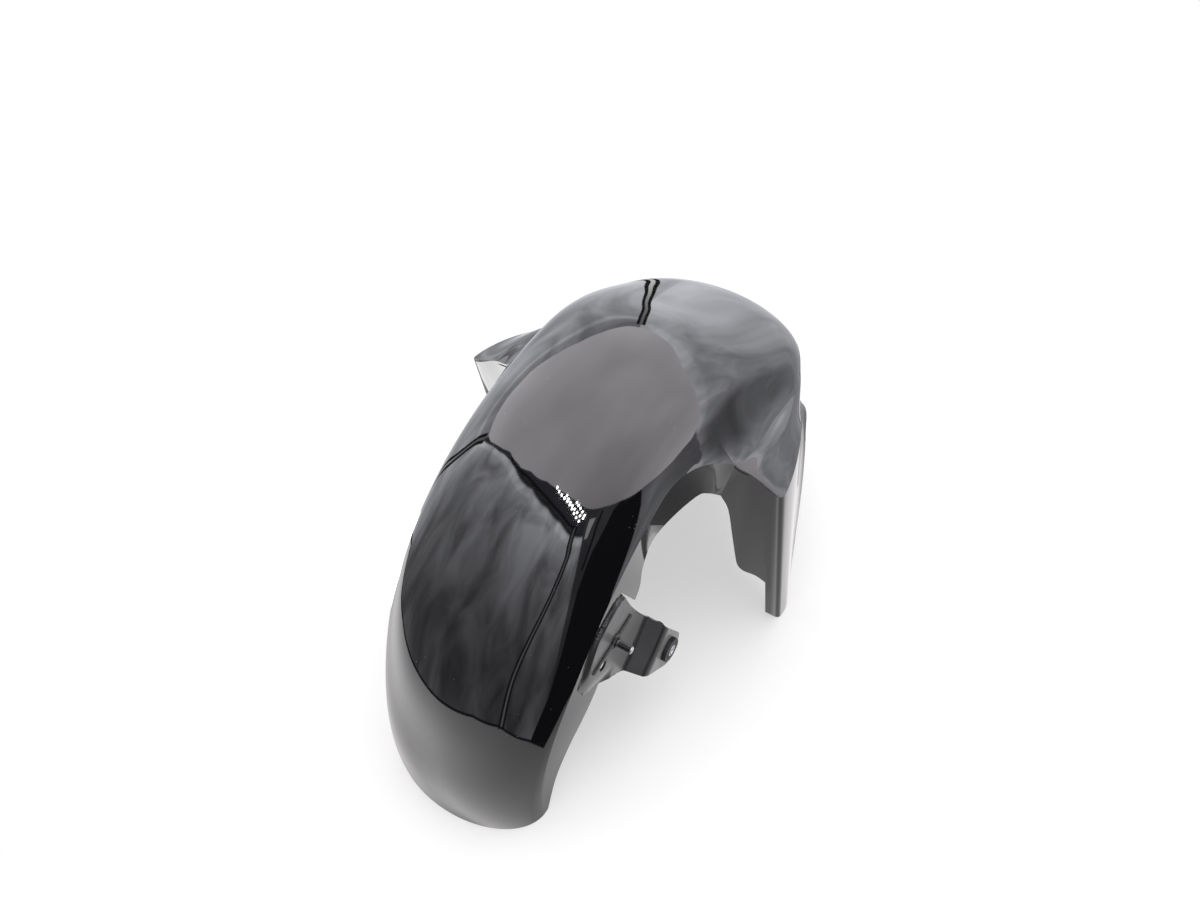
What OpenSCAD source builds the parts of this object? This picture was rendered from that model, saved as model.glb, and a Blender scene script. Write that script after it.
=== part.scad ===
/* [Wheel arch] */
// Radius of the crown along its middle, from the wheel axle
crown_r = 240; // [220:5:280]
// Height of the rounded crown above its side creases
crown_h = 36; // [28:1:44]
// Width over the side creases at the tail
tail_w = 128; // [110:2:140]
// Width over the side creases at the fork legs
body_w = 148; // [140:2:160]
// Width over the side creases at the nose
nose_w = 116; // [100:2:130]
// Angle of the nose past the height of the axle at the back, over the top
nose_a = 158; // [150:1:165]
// Height of the axle above the surface that the part stands on
axle_h = 32; // [20:1:40]
// Wall of the moulding
wall = 3; // [2:0.5:4]
// Depth of the side flange at the bracket
flange_d = 39; // [30:1:44]
// Width over the crown's sides where it is widest, ahead of the fork legs
front_w = 160; // [150:2:174]
// How much flatter the crown's middle line is over the fork legs than a true circle
front_flat = 6.5; // [0:0.5:8]

/* [Fork shields] */
// Width over both shields at their rear corners
shield_w = 260; // [240:5:280]
// Height of the shield corners above the axle
shield_z = 164; // [150:1:175]
// Rise of each shield's shelf over a straight line to the corner
shelf_rise = 4; // [0:0.5:8]
// Place of the flat rear panels ahead of the axle
panel_x = -3; // [-10:1:5]
// Lean of the rear panels, forward going down
panel_lean = 12.5; // [5:0.5:16]
// Height of the rear panels' lower edge above the axle
panel_low = 27; // [15:1:40]
// Width of the foot under each panel
foot_w = 14; // [10:1:20]
// Radius of the shields' upright outer corners
corner_r = 4; // [3.5:0.5:6]

/* [Brackets] */
// Depth of the bracket screws under the side creases
screw_drop = 108; // [100:1:112]
// Angle of the bracket screws above the horizontal, seen from the axle
screw_a = 32; // [30:1:35]
// How far the brackets' pads stand proud of the flanges
pad_proud = 2.5; // [2:0.5:4]
// Step outward from each bracket's pad to its screw end
tab_step = 15.5; // [12:0.5:18]
// Height of the bracket's screw end, across the arm
tab_w = 27; // [24:1:30]
// Thickness of the brackets
tab_t = 4; // [3:0.5:5]
// Angle of the bracket's arm above the horizontal
arm_a = 46; // [42:1:50]

/* [Grommets and sleeves] */
// Outer diameter of the rubber grommets
grommet_d = 19; // [17:0.5:22]
// Diameter of the grommet's neck in the bracket
neck_d = 13; // [12:0.5:15]
// Height of the grommet's collar over the bracket's outer face
collar_t = 4; // [3:0.5:5]
// Height of the grommet's collar under the bracket's inner face
back_t = 2.5; // [2:0.5:4]
// Outer diameter of the steel sleeves
sleeve_d = 8.5; // [8:0.5:10]
// Bore of the steel sleeves
sleeve_bore = 6.5; // [6:0.5:7]

/* [Hose clip fasteners] */
// Diameter of the studs
stud_d = 6; // [5:1:6]
// Length of a stud outside its clip plate
stud_l = 11; // [8:1:16]
// Diameter of the stud's plain shank inside the bracket and the clip plate
shank_d = 7; // [6.5:0.5:8]
// Diameter of the stud's head inside the bracket
head_d = 12; // [10:1:14]
// Thickness of the stud's head
head_t = 3; // [2:0.5:4]
// Length of the clip plate
plate_l = 48; // [40:1:54]
// Width of the clip plate
plate_w = 6.5; // [6:0.5:8]
// Thickness of the clip plate
plate_t = 2; // [1.5:0.5:3]
// Diameter of the spare hole beside the stud
hole_d = 8; // [6:0.5:9]

/* [Hidden] */
eps = 0.01;
crease_r = crown_r - crown_h;
mid_x = crown_r * (1 - cos(180 - nose_a)) / 2;
// Counts of the mesh: stations to the panel and past it, points over half the crown and over the shelf,
// and skirt rows
rear_n = 32;
front_n = 22;
half_n = 12;
shelf_n = 8;
skirt_n = 5;
panel_a = 88.3;
station_n = rear_n + 1 + front_n;
column_n = station_n + shelf_n;

function lerp(a, b, t) = a + (b - a) * t;
function ease(t) = let(u = min(1, max(0, t))) u * u * (3 - 2 * u);
function unit(v) = v / norm(v);
// Point of a smooth curve through the points of a list, u from 0 to the last index
function through(p, u) =
    let(n = len(p) - 1, i = min(n - 1, max(0, floor(u))), t = u - i,
        a = i > 0 ? p[i - 1] : 2 * p[0] - p[1], b = p[i], c = p[i + 1],
        d = i < n - 1 ? p[i + 2] : 2 * p[n] - p[n - 1])
    b + (c - a) * t / 2 + (2 * a - 5 * b + 4 * c - d) * t * t / 2 + (3 * b - a - 3 * c + d) * t * t * t / 2;
function bezier(p, t) = let(s = 1 - t)
    s * s * s * p[0] + 3 * s * s * t * p[1] + 3 * s * t * t * p[2] + t * t * t * p[3];

// A section is drawn as [side, radius] and stood up at an angle about the axle.
// The tail's section is turned point by point, so that its whole edge lies on the ground.
tail_a = asin(axle_h / crown_r);
function stand(a, q) =
    let(f = max(0, (20 - a) / (20 + tail_a)), b = a - f * (asin(axle_h / q[1]) - tail_a))
    [-q[1] * cos(b), -q[0], q[1] * sin(b)];

// Angle of each station: even to the fork opening, closer round it, then even to the nose
turn_n = 7;
turn_a = 70;
function station_a(i) =
    i <= rear_n - turn_n ? lerp(-tail_a, turn_a, i / (rear_n - turn_n)) :
    i <= rear_n ? lerp(turn_a, panel_a, (i - rear_n + turn_n) / turn_n) :
    i == rear_n + 1 ? panel_a + 0.5 :
    i == rear_n + 2 ? panel_a + 1.5 :
    lerp(panel_a + 1.5, nose_a, pow((i - rear_n - 2) / (front_n - 2), 1.1));

// Angles over which the crown's middle line is flatter
flat_a = [94, 138];
// Angles between which the crown grows fuller, and the angle from which it narrows to the nose
full_a = [76, 116];
narrow_a = 125;
// Half widths over the creases
function body_y(a) = a < 60
    ? lerp(tail_w, body_w, ease((a + tail_a) / 50)) / 2
    : lerp(lerp(body_w, front_w, ease((a - full_a[0]) / (full_a[1] - full_a[0]))), nose_w,
        ease((a - narrow_a) / (nose_a - narrow_a + 5))) / 2;
// The crown's middle line is a circle but for a flatter stretch over the fork legs
function middle_r(a) = crown_r - (a > flat_a[0] && a < flat_a[1]
    ? front_flat * pow(sin((a - flat_a[0]) / (flat_a[1] - flat_a[0]) * 180), 2) : 0);
function side_r(a) = middle_r(a) - crown_h;
// How far the crown's curve runs round: nearly a quarter at both ends, a crisp crease beside the brackets
function round_a(a) = lerp(88, 76, ease((a + tail_a) / 34) * (1 - ease((a - panel_a) / 25)));
function crown_p(a, f) = let(e = round_a(a))
    [body_y(a) * sin(f) / sin(e), side_r(a) + crown_h * (cos(f) - cos(e)) / (1 - cos(e))];
function crown_d(a, f) = let(e = round_a(a))
    [body_y(a) * cos(f) / sin(e), -crown_h * sin(f) / (1 - cos(e))];

// Last part of the crown's section, from the side of the crown to the crease or the shield's edge
function side_share(a) = lerp(0.72, 0.96, ease((a - 55) / 28) * (1 - ease((a - 110) / 30)));
function plain_side(a) =
    let(e = round_a(a), f = e * side_share(a), k = 4 / 3 * tan((e - f) / 4),
        p = crown_p(a, f), c = crown_p(a, e))
    [p, p + k * crown_d(a, f), c - k * crown_d(a, e), c];
// The full shield section: down the crown's side, round the valley and out over the shelf
neck_l = 34;
valley = [18, 8];
function shield_side(a) =
    let(f = round_a(a) * side_share(a), p = crown_p(a, f), v = max(0, (a - 90) / (nose_a - 90)))
    [p, p + neck_l * unit(crown_d(a, f)), [body_y(a) + valley[0], shield_z + valley[1]],
     [(shield_w - (shield_w - nose_w) * pow(v, 1.35)) / 2, shield_z + (crease_r - shield_z) * pow(v, 3)]];
function blend(p, q, t) = [for (i = [0:3]) lerp(p[i], q[i], t)];
function first_half(p) = let(a = (p[0] + p[1]) / 2, b = (p[1] + p[2]) / 2, c = (p[2] + p[3]) / 2)
    [p[0], a, (a + b) / 2, (a + 2 * b + c) / 4];
function front_side(a) = let(f = 1 - ease((a - 98) / (nose_a - 108)), s = shield_side(a), p = plain_side(a))
    [p[0], lerp(p[1], s[1], f), lerp(p[2], s[2], f), s[3]];
function rear_side(a) = let(f = (a - turn_a) / (panel_a - turn_a))
    blend(plain_side(a), first_half(shield_side(panel_a)), max(0, f) * max(0, f));

// Point j of half a section, from 0 in the middle to half_n and on over the shelf to half_n + shelf_n
over_n = 8;
function section(i, j) =
    let(a = station_a(i), f = round_a(a) * side_share(a))
    j <= over_n ? crown_p(a, f * j / over_n) :
    i < rear_n ? bezier(rear_side(a), (j - over_n) / (half_n - over_n)) :
    j <= half_n ? bezier(front_side(a), 0.5 * (j - over_n) / (half_n - over_n)) :
    let(t = (j - half_n) / shelf_n)
    bezier(front_side(a), 0.5 + 0.5 * t)
        + [0, shelf_rise * pow(sin(180 * t), 2) * (1 - ease((a - 110) / 40))];
// The shelf ends short of the corner on the panel's station, and the next two round it off
function corner_cut(i, j) = j <= half_n ? 0 :
    (i == rear_n ? corner_r : i == rear_n + 1 ? corner_r * 0.3 : 0) * pow((j - half_n) / shelf_n, 3);
function top_p(i, j) =
    let(q = section(i, abs(j)), c = corner_cut(i, abs(j)), p = stand(station_a(i), [q[0] - c, q[1]]))
    [p[0], j < 0 ? -p[1] : p[1], p[2]];

// Lower edge of the right side, as points [x, y, z], from the tail round to the nose
function flange(a, d, y) = [-(crease_r - d) * cos(a), -y, (crease_r - d) * sin(a)];
function on_panel(y, z) = [panel_x + (shield_z - z) * tan(panel_lean), -y, z];
foot_y = shield_w / 2 + 4;
edge_rear = [
    [-sqrt(pow(crease_r - 4, 2) - axle_h * axle_h), -tail_w / 2, -axle_h],
    flange(0, 17, tail_w / 2 + 1), flange(8, 29, tail_w / 2 + 3), flange(18, flange_d - 1, body_w / 2 - 3),
    flange(27, flange_d, body_w / 2), flange(40, flange_d, body_w / 2 + 1), flange(52, 44, body_w / 2 + 1),
    flange(58, 32, body_w / 2), flange(64, 27, body_w / 2 - 1), flange(72, 38, body_w / 2),
    flange(82, 53, body_w / 2 + 2), flange(87, 64, body_w / 2 + 4), on_panel(body_w / 2 + 8, shield_z - 36)];
edge_panel = [
    on_panel(body_w / 2 + 14, shield_z - 51), on_panel(body_w / 2 + 17, lerp(panel_low, shield_z, 0.36)),
    on_panel(body_w / 2 + 19.5, panel_low + 17), on_panel(body_w / 2 + 21.5, panel_low + 3),
    on_panel(body_w / 2 + 27, panel_low - 2), on_panel(foot_y - 23, panel_low),
    on_panel(foot_y - foot_w, panel_low - 4),
    on_panel(foot_y - foot_w + 1, -axle_h)];
edge_side = [
    on_panel(foot_y - 1, -axle_h), on_panel(foot_y, -axle_h) + [2, 0, 0],
    [52, -foot_y, -axle_h + 4], [60, -foot_y + 4, 0], [70, -124, 44], [95, -113, 78], [125, -99, 96],
    [155, -84, 96], [-(crease_r - 14) * cos(nose_a), -nose_w / 2, (crease_r - 14) * sin(nose_a)]];
rear_keys = [-tail_a, 0, 8, 18, 27, 40, 52, 58, 64, 71, 78, 83.5, panel_a];
function key_u(a, k = 0) = k >= len(rear_keys) - 2 || a < rear_keys[k + 1]
    ? k + (a - rear_keys[k]) / (rear_keys[k + 1] - rear_keys[k]) : key_u(a, k + 1);
function edge_p(c) =
    c <= rear_n ? through(edge_rear, key_u(station_a(c))) :
    c <= rear_n + shelf_n ? edge_panel[c - rear_n - 1] :
    let(u = (c - rear_n - shelf_n - 1) / (front_n - 1), v = 1 / (front_n - 1))
    u == 0 ? edge_side[0] : through(edge_side, 1 + (len(edge_side) - 2) * (u - v) / (1 - v));

// Skirt: columns hang from the crease, the panel's top edge and the shield's edge
function top_i(c) = c <= rear_n ? c : c <= rear_n + shelf_n ? rear_n : c - shelf_n;
function top_j(c) = c <= rear_n ? half_n : c <= rear_n + shelf_n ? half_n + c - rear_n : half_n + shelf_n;
function skirt_p(c, r) = lerp(top_p(top_i(c), top_j(c)), edge_p(c), r / skirt_n);

// Normals from neighbours in each grid, pointing out of the moulding
function wide(i) = i < rear_n ? half_n : half_n + shelf_n;
function top_normal(i, j) =
    let(w = wide(i), i0 = i > 0 && abs(j) <= wide(i - 1) ? i - 1 : i, i1 = min(station_n - 1, i + 1),
        j0 = max(-w, j - 1), j1 = min(w, j + 1))
    unit(cross(top_p(i1, j) - top_p(i0, j), top_p(i, j0) - top_p(i, j1)));
function skirt_normal(c, r) =
    let(c0 = max(0, c - 1), c1 = min(column_n - 1, c + 1), r0 = max(0, r - 1), r1 = min(skirt_n, r + 1))
    unit(cross(skirt_p(c1, r) - skirt_p(c0, r), skirt_p(c, r0) - skirt_p(c, r1)));
function flip(v) = [v[0], -v[1], v[2]];

// Outer points: the top grid, then the right and the left skirt without their shared first row
top_rows = [for (i = [0:station_n - 1]) [for (j = [-wide(i):wide(i)]) top_p(i, j)]];
skirt_rows = [for (c = [0:column_n - 1]) [for (r = [0:skirt_n]) skirt_p(c, r)]];
skirt_normals = [for (c = [0:column_n - 1]) [for (r = [0:skirt_n]) skirt_normal(c, r)]];
function column_of(i, j) = i < rear_n ? i : i > rear_n ? i + shelf_n : rear_n + j - half_n;
function on_crease(i, j) =
    i < rear_n ? abs(j) == half_n : i == rear_n ? abs(j) >= half_n : abs(j) == wide(i);
function inner_of_top(i, j) =
    let(n = top_normal(i, j), p = top_rows[i][j + wide(i)])
    !on_crease(i, j) ? p - wall * n :
    let(m0 = skirt_normals[column_of(i, abs(j))][0], m = j < 0 ? flip(m0) : m0)
    p - wall * (n + m) / max(0.6, 1 + n * m);
outer = [
    for (i = [0:station_n - 1]) for (j = [-wide(i):wide(i)]) top_rows[i][j + wide(i)],
    for (c = [0:column_n - 1]) for (r = [1:skirt_n]) skirt_rows[c][r],
    for (c = [0:column_n - 1]) for (r = [1:skirt_n]) flip(skirt_rows[c][r])];
inner = [
    for (i = [0:station_n - 1]) for (j = [-wide(i):wide(i)]) inner_of_top(i, j),
    for (c = [0:column_n - 1]) for (r = [1:skirt_n]) skirt_rows[c][r] - wall * skirt_normals[c][r],
    for (c = [0:column_n - 1]) for (r = [1:skirt_n]) flip(skirt_rows[c][r] - wall * skirt_normals[c][r])];

rear_span = 2 * half_n + 1;
front_span = rear_span + 2 * shelf_n;
top_count = rear_n * rear_span + (station_n - rear_n) * front_span;
function top_id(i, j) = i < rear_n ? i * rear_span + j + half_n
    : rear_n * rear_span + (i - rear_n) * front_span + j + half_n + shelf_n;
// side is 1 on the right and -1 on the left
function skirt_id(side, c, r) = r == 0 ? top_id(top_i(c), side * top_j(c))
    : top_count + (side > 0 ? 0 : column_n * skirt_n) + c * skirt_n + r - 1;
function quad(a, b, c, d) = [[a, b, c], [a, c, d]];
top_faces = [
    for (i = [0:station_n - 2]) let(w = min(wide(i), wide(i + 1))) for (j = [-w:w - 1])
    each quad(top_id(i, j), top_id(i + 1, j), top_id(i + 1, j + 1), top_id(i, j + 1))];
right_faces = [for (c = [0:column_n - 2]) for (r = [0:skirt_n - 1])
    each quad(skirt_id(1, c, r), skirt_id(1, c + 1, r), skirt_id(1, c + 1, r + 1), skirt_id(1, c, r + 1))];
left_faces = [
    for (c = [0:column_n - 2]) for (r = [0:skirt_n - 1])
    each quad(skirt_id(-1, c, r), skirt_id(-1, c, r + 1),
              skirt_id(-1, c + 1, r + 1), skirt_id(-1, c + 1, r))];
// The free edge, once round: right side forward, over the nose, left side back, over the tail
last_c = column_n - 1;
rim = [
    for (c = [0:last_c]) skirt_id(1, c, skirt_n),
    for (r = [1:skirt_n]) skirt_id(1, last_c, skirt_n - r),
    for (j = [1:front_span - 1]) top_id(station_n - 1, half_n + shelf_n - j),
    for (r = [1:skirt_n]) skirt_id(-1, last_c, r),
    for (c = [1:last_c]) skirt_id(-1, last_c - c, skirt_n),
    for (r = [1:skirt_n]) skirt_id(-1, 0, skirt_n - r),
    for (j = [1:rear_span - 1]) top_id(0, j - half_n),
    for (r = [1:skirt_n - 1]) skirt_id(1, 0, r)];
outer_faces = concat(top_faces, right_faces, left_faces);
outer_count = len(outer);
inner_faces = [for (f = outer_faces) [f[0], f[2], f[1]] + [1, 1, 1] * outer_count];
rim_faces = [for (k = [0:len(rim) - 1]) let(a = rim[k], b = rim[(k + 1) % len(rim)])
    each quad(a, b, b + outer_count, a + outer_count)];

module shell() {
    polyhedron(points = concat(outer, inner), faces = concat(outer_faces, inner_faces, rim_faces));
}

// Bracket frame: origin at the screw on the right side's outer tab face, first axis out along the arm
// towards the crown, second axis forward, third axis out of the bracket
module at_bracket() {
    translate([-screw_r * cos(screw_a), -pad_y - tab_step, screw_r * sin(screw_a)]) multmatrix([
        [-cos(arm_a), sin(arm_a), 0, 0],
        [0, 0, -1, 0],
        [sin(arm_a), cos(arm_a), 0, 0]]) children();
}
screw_r = crease_r - screw_drop;
pad_y = body_w / 2 + pad_proud;
pad_t = 5;
// Where the joggle starts at the screw end, and where it reaches the pad
joggle_u = [19, 32];
// Outline of the screw end and the arm seen from the side
end_u = -20.5;
end_r = [9, 6];
// Lower edge of the screw end, and half the arm's width where it meets the pad
tab_low = -15.5;
arm_half = 22;
module arm_outline() {
    hull() {
        translate([end_u + end_r[0], tab_low + tab_w - end_r[0]]) circle(r = end_r[0], $fn = 48);
        translate([end_u + end_r[1], tab_low + end_r[1]]) circle(r = end_r[1], $fn = 48);
        translate([joggle_u[1] + 6, -arm_half]) square([eps, 2 * arm_half]);
    }
}
// Outline of the pad that lies on the flange, and of the open notch between its front edge and the flange
pad_front = [[56, 26.8], [72, 31.8], [85, 36.6], [95, 40.5]];
pad_points = concat([[26, -20], [38, -23], [53, -24], [61, -28], [80, -33], [100, -22], [106, -5], [108, 8],
    [104, 26], [98, 36]], [for (k = [3:-1:0]) pad_front[k]], [[26, 19.5]]);
notch_points = concat([[44, 20], [48, 31]], [[98, 42.5]], [for (k = [3:-1:0]) pad_front[k] - [0, 2]]);
// Clip plate: its middle and turn, the stud beside its line and the round lug about the stud
plate_at = [80, 5.5];
plate_turn = -58;
stud_at = [74.5, 6.5];
lug_d = 14;
hole_at = [78, -11];
module bracket() {
    // Screw end
    intersection() {
        translate([0, 0, -tab_t]) linear_extrude(tab_t) arm_outline();
        translate([-tab_w * 2, -tab_w, -2 * tab_t])
            cube([tab_w * 2 + joggle_u[0] + 1, 2 * tab_w, 3 * tab_t]);
    }
    // Joggle, cut from a folded strip by the arm's outline
    intersection() {
        translate([0, 0, -tab_step - pad_t]) linear_extrude(tab_step + pad_t) arm_outline();
        rotate([90, 0, 0]) linear_extrude(2 * tab_w, center = true) polygon([
            [joggle_u[0] - 2, 0], [joggle_u[0], 0], [joggle_u[1], -tab_step],
            [joggle_u[1] + 5, -tab_step], [joggle_u[1] + 5, -tab_step - pad_t],
            [joggle_u[1] - 4, -tab_step - pad_t], [joggle_u[0] - 2, -tab_t]]);
    }
    translate([0, 0, -tab_step - pad_t]) linear_extrude(pad_t) polygon(pad_points);
}
module bracket_cuts() {
    cylinder(d = neck_d, h = 3 * tab_t, center = true, $fn = 64);
    translate([stud_at[0], stud_at[1], -tab_step])
        cylinder(d = shank_d, h = 4 * pad_t, center = true, $fn = 32);
    translate([hole_at[0], hole_at[1], -tab_step])
        cylinder(d = hole_d, h = 4 * pad_t, center = true, $fn = 32);
}
module notch() {
    translate([0, 0, -tab_step - 2 * pad_t]) linear_extrude(3 * pad_t) polygon(notch_points);
}
module on_side(right) {
    translate([mid_x, 0, axle_h]) mirror([0, right ? 0 : 1, 0]) at_bracket() children();
}

module mudguard_shell() {
    color([0.06, 0.06, 0.07]) difference() {
        union() {
            difference() {
                translate([mid_x, 0, axle_h]) shell();
                on_side(true) notch();
                on_side(false) notch();
            }
            on_side(true) bracket();
            on_side(false) bracket();
        }
        on_side(true) bracket_cuts();
        on_side(false) bracket_cuts();
    }
}
// Rubber grommet: a collar on each face of the tab and a neck through it
module grommet() {
    color([0.12, 0.12, 0.12]) rotate_extrude($fn = 64) polygon([
        [sleeve_d / 2, -tab_t - back_t], [grommet_d / 2, -tab_t - back_t], [grommet_d / 2, -tab_t],
        [neck_d / 2, -tab_t], [neck_d / 2, 0], [grommet_d / 2, 0], [grommet_d / 2, collar_t - 0.5],
        [grommet_d / 2 - 0.5, collar_t], [sleeve_d / 2, collar_t]]);
}
// Steel sleeve that the screw clamps, through the grommet
module sleeve() {
    color([0.7, 0.7, 0.72]) translate([0, 0, -tab_t - back_t]) difference() {
        cylinder(d = sleeve_d, h = tab_t + back_t + collar_t, $fn = 64);
        translate([0, 0, -1]) cylinder(d = sleeve_bore, h = tab_t + back_t + collar_t + 2, $fn = 48);
    }
}
// Flat plate with round ends, and a round lug that the stud passes through
module clip_plate() {
    color([0.1, 0.1, 0.1]) translate([0, 0, -tab_step]) difference() {
        linear_extrude(plate_t) {
            translate(plate_at) rotate(plate_turn) {
                square([plate_l - plate_w, plate_w], center = true);
                for (x = [-1, 1]) translate([x * (plate_l - plate_w) / 2, 0]) circle(d = plate_w, $fn = 32);
            }
            translate(stud_at) circle(d = lug_d, $fn = 48);
        }
        translate([stud_at[0], stud_at[1], -1]) cylinder(d = shank_d, h = plate_t + 2, $fn = 32);
    }
}
// Stud with a flat round head against the bracket's inner face
module stud() {
    color([0.3, 0.3, 0.32]) translate([stud_at[0], stud_at[1], -tab_step - pad_t]) {
        translate([0, 0, -head_t]) cylinder(d = head_d, h = head_t, $fn = 48);
        cylinder(d = shank_d, h = pad_t + plate_t, $fn = 32);
        cylinder(d = stud_d, h = pad_t + plate_t + stud_l, $fn = 32);
    }
}
module grommet_right() { on_side(true) grommet(); }
module grommet_left() { on_side(false) grommet(); }
module sleeve_right() { on_side(true) sleeve(); }
module sleeve_left() { on_side(false) sleeve(); }
module clip_plate_right() { on_side(true) clip_plate(); }
module clip_plate_left() { on_side(false) clip_plate(); }
module stud_right() { on_side(true) stud(); }
module stud_left() { on_side(false) stud(); }

mudguard_shell();
grommet_right();
grommet_left();
sleeve_right();
sleeve_left();
clip_plate_right();
clip_plate_left();
stud_right();
stud_left();
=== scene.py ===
# %% [markdown]
# This scene dresses the front mudguard of a small motorcycle: one gloss black moulding with two bracket arms,
# and on each arm a rubber grommet with a steel sleeve, a clip plate and a threaded stud. The imported CAD model
# comes in first as a fixed frame, so that every piece made here sits where the CAD says.

# %% Load the frame
import math
import bmesh
import bpy
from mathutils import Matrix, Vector


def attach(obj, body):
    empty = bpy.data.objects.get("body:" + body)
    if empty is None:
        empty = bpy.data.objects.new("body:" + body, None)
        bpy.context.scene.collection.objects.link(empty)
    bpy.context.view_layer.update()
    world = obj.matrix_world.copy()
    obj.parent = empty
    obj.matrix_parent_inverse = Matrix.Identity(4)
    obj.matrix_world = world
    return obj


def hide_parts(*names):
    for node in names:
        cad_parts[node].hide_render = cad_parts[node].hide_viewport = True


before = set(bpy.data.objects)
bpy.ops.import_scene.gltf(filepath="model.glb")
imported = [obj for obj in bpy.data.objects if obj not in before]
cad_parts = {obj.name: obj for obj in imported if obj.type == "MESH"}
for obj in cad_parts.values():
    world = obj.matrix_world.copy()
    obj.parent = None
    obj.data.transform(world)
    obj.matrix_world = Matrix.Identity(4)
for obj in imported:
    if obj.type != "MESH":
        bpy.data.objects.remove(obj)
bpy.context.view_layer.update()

# %% [markdown]
# The drawing below is in millimetres about the wheel's axle, as a mudguard maker would draw it, because the
# crown runs round the tyre at an even distance. A mesh is turned to metres and lifted to the frame's place
# only when it is made, so the numbers stay easy to read.

# %% Millimetres to metres, and two ways to go from one value to another
AXLE_HEIGHT = 32
CROWN_RADIUS = 240
NOSE_ANGLE = 158
MIDDLE_X = CROWN_RADIUS * (1 - math.cos(math.radians(180 - NOSE_ANGLE))) / 2


def to_frame(p):
    """From millimetres about the axle to metres in the frame."""
    return Vector((p[0] + MIDDLE_X, p[1], p[2] + AXLE_HEIGHT)) / 1000


def between(a, b, t):
    return a + (b - a) * t


def ease(t):
    """From 0 to 1 with a soft start and a soft stop."""
    t = min(1, max(0, t))
    return t * t * (3 - 2 * t)


def through(points, u):
    """A smooth curve through the points, u from 0 to the last index."""
    n = len(points) - 1
    i = min(n - 1, max(0, int(math.floor(u))))
    t = u - i
    p = [Vector(q) for q in points]
    b, c = p[i], p[i + 1]
    a = p[i - 1] if i > 0 else 2 * b - c
    d = p[i + 2] if i < n - 1 else 2 * c - b
    return b + (c - a) * t / 2 + (2 * a - 5 * b + 4 * c - d) * t * t / 2 + (3 * b - a - 3 * c + d) * t ** 3 / 2


print("the middle of the arch is", round(MIDDLE_X, 2), "mm from the axle")

# %% [markdown]
# A piece is made from plain lists of points and faces. One helper turns them into an object that rides on the
# frame's only body. A second one applies the modifiers, so that a boolean's cutter can be thrown away once it
# has cut.

# %% Make an object from points and faces
def make_piece(name, points, faces, slot, replaced, smooth_angle=35):
    mesh = bpy.data.meshes.new(name)
    mesh.from_pydata([to_frame(p) for p in points], [], faces)
    mesh.validate()
    piece = bpy.data.objects.new(name, mesh)
    bpy.context.scene.collection.objects.link(piece)
    mesh.shade_smooth()
    mesh.set_sharp_from_angle(angle=math.radians(smooth_angle))
    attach(piece, "root")
    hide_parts(*replaced)
    return piece


def merge_and_face_out(piece, distance=0.00001):
    work = bmesh.new()
    work.from_mesh(piece.data)
    bmesh.ops.remove_doubles(work, verts=work.verts, dist=distance)
    bmesh.ops.dissolve_degenerate(work, edges=work.edges, dist=distance / 2)
    bmesh.ops.recalc_face_normals(work, faces=work.faces)
    work.to_mesh(piece.data)
    work.free()


def apply_modifiers(piece):
    made = bpy.data.meshes.new_from_object(piece.evaluated_get(bpy.context.evaluated_depsgraph_get()))
    piece.modifiers.clear()
    piece.data = made


def round_edges(piece, width, segments=3, angle=30):
    bevel = piece.modifiers.new("rounded edges", "BEVEL")
    bevel.width = width / 1000
    bevel.segments = segments
    bevel.limit_method = "ANGLE"
    bevel.angle_limit = math.radians(angle)
    bevel.harden_normals = True
    bevel.miter_outer = "MITER_ARC"


# %% [markdown]
# The crown is the rounded top over the tyre. Seen across the wheel, each slice is part of an ellipse that ends
# at a crease on each side. The slice grows wider towards the fork legs, keeps a crisp crease beside the
# brackets, and runs down to a narrow nose. The real part is a single injection moulding, so all of it is one
# sheet here too, drawn slice by slice round the axle, which gives clean flowing lines for the gloss.

# %% The crown's slices
CROWN_HEIGHT = 36
TAIL_WIDTH, BODY_WIDTH, FULL_WIDTH, NOSE_WIDTH = 128, 148, 160, 116
CREASE_RADIUS = CROWN_RADIUS - CROWN_HEIGHT
TAIL_ANGLE = math.degrees(math.asin(AXLE_HEIGHT / CROWN_RADIUS))
TURN_ANGLE, PANEL_ANGLE = 70, 88.3
FLATTER_FROM, FLATTER_TO, FLATTER_BY = 94, 138, 6.5
TAIL_DRAWN_IN = 0.08


def half_width(a):
    """Half the crown's width: wider from the tail on, fullest over the fork legs, narrow at the nose."""
    if a < 60:
        return between(TAIL_WIDTH, BODY_WIDTH, ease((a + TAIL_ANGLE) / 50)) / 2
    fuller = between(BODY_WIDTH, FULL_WIDTH, ease((a - 76) / 40))
    return between(fuller, NOSE_WIDTH, ease((a - 125) / (NOSE_ANGLE - 120))) / 2


def middle_radius(a):
    """The crown's radius; its front is a little flatter, and its tail stays just inside the CAD's box."""
    if not FLATTER_FROM < a < FLATTER_TO:
        return CROWN_RADIUS - TAIL_DRAWN_IN * (1 - ease(a / 20))
    return CROWN_RADIUS - FLATTER_BY * math.sin(math.pi * (a - FLATTER_FROM) / (FLATTER_TO - FLATTER_FROM)) ** 2


def round_angle(a):
    """How far the ellipse goes round from the middle to the crease, in degrees."""
    return between(88, 76, ease((a + TAIL_ANGLE) / 34) * (1 - ease((a - PANEL_ANGLE) / 25)))


def crown_point(a, f):
    end, f = math.radians(round_angle(a)), math.radians(f)
    across = half_width(a) * math.sin(f) / math.sin(end)
    drop = CROWN_HEIGHT * (math.cos(f) - math.cos(end)) / (1 - math.cos(end))
    return Vector((across, middle_radius(a) - CROWN_HEIGHT + drop))


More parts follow.
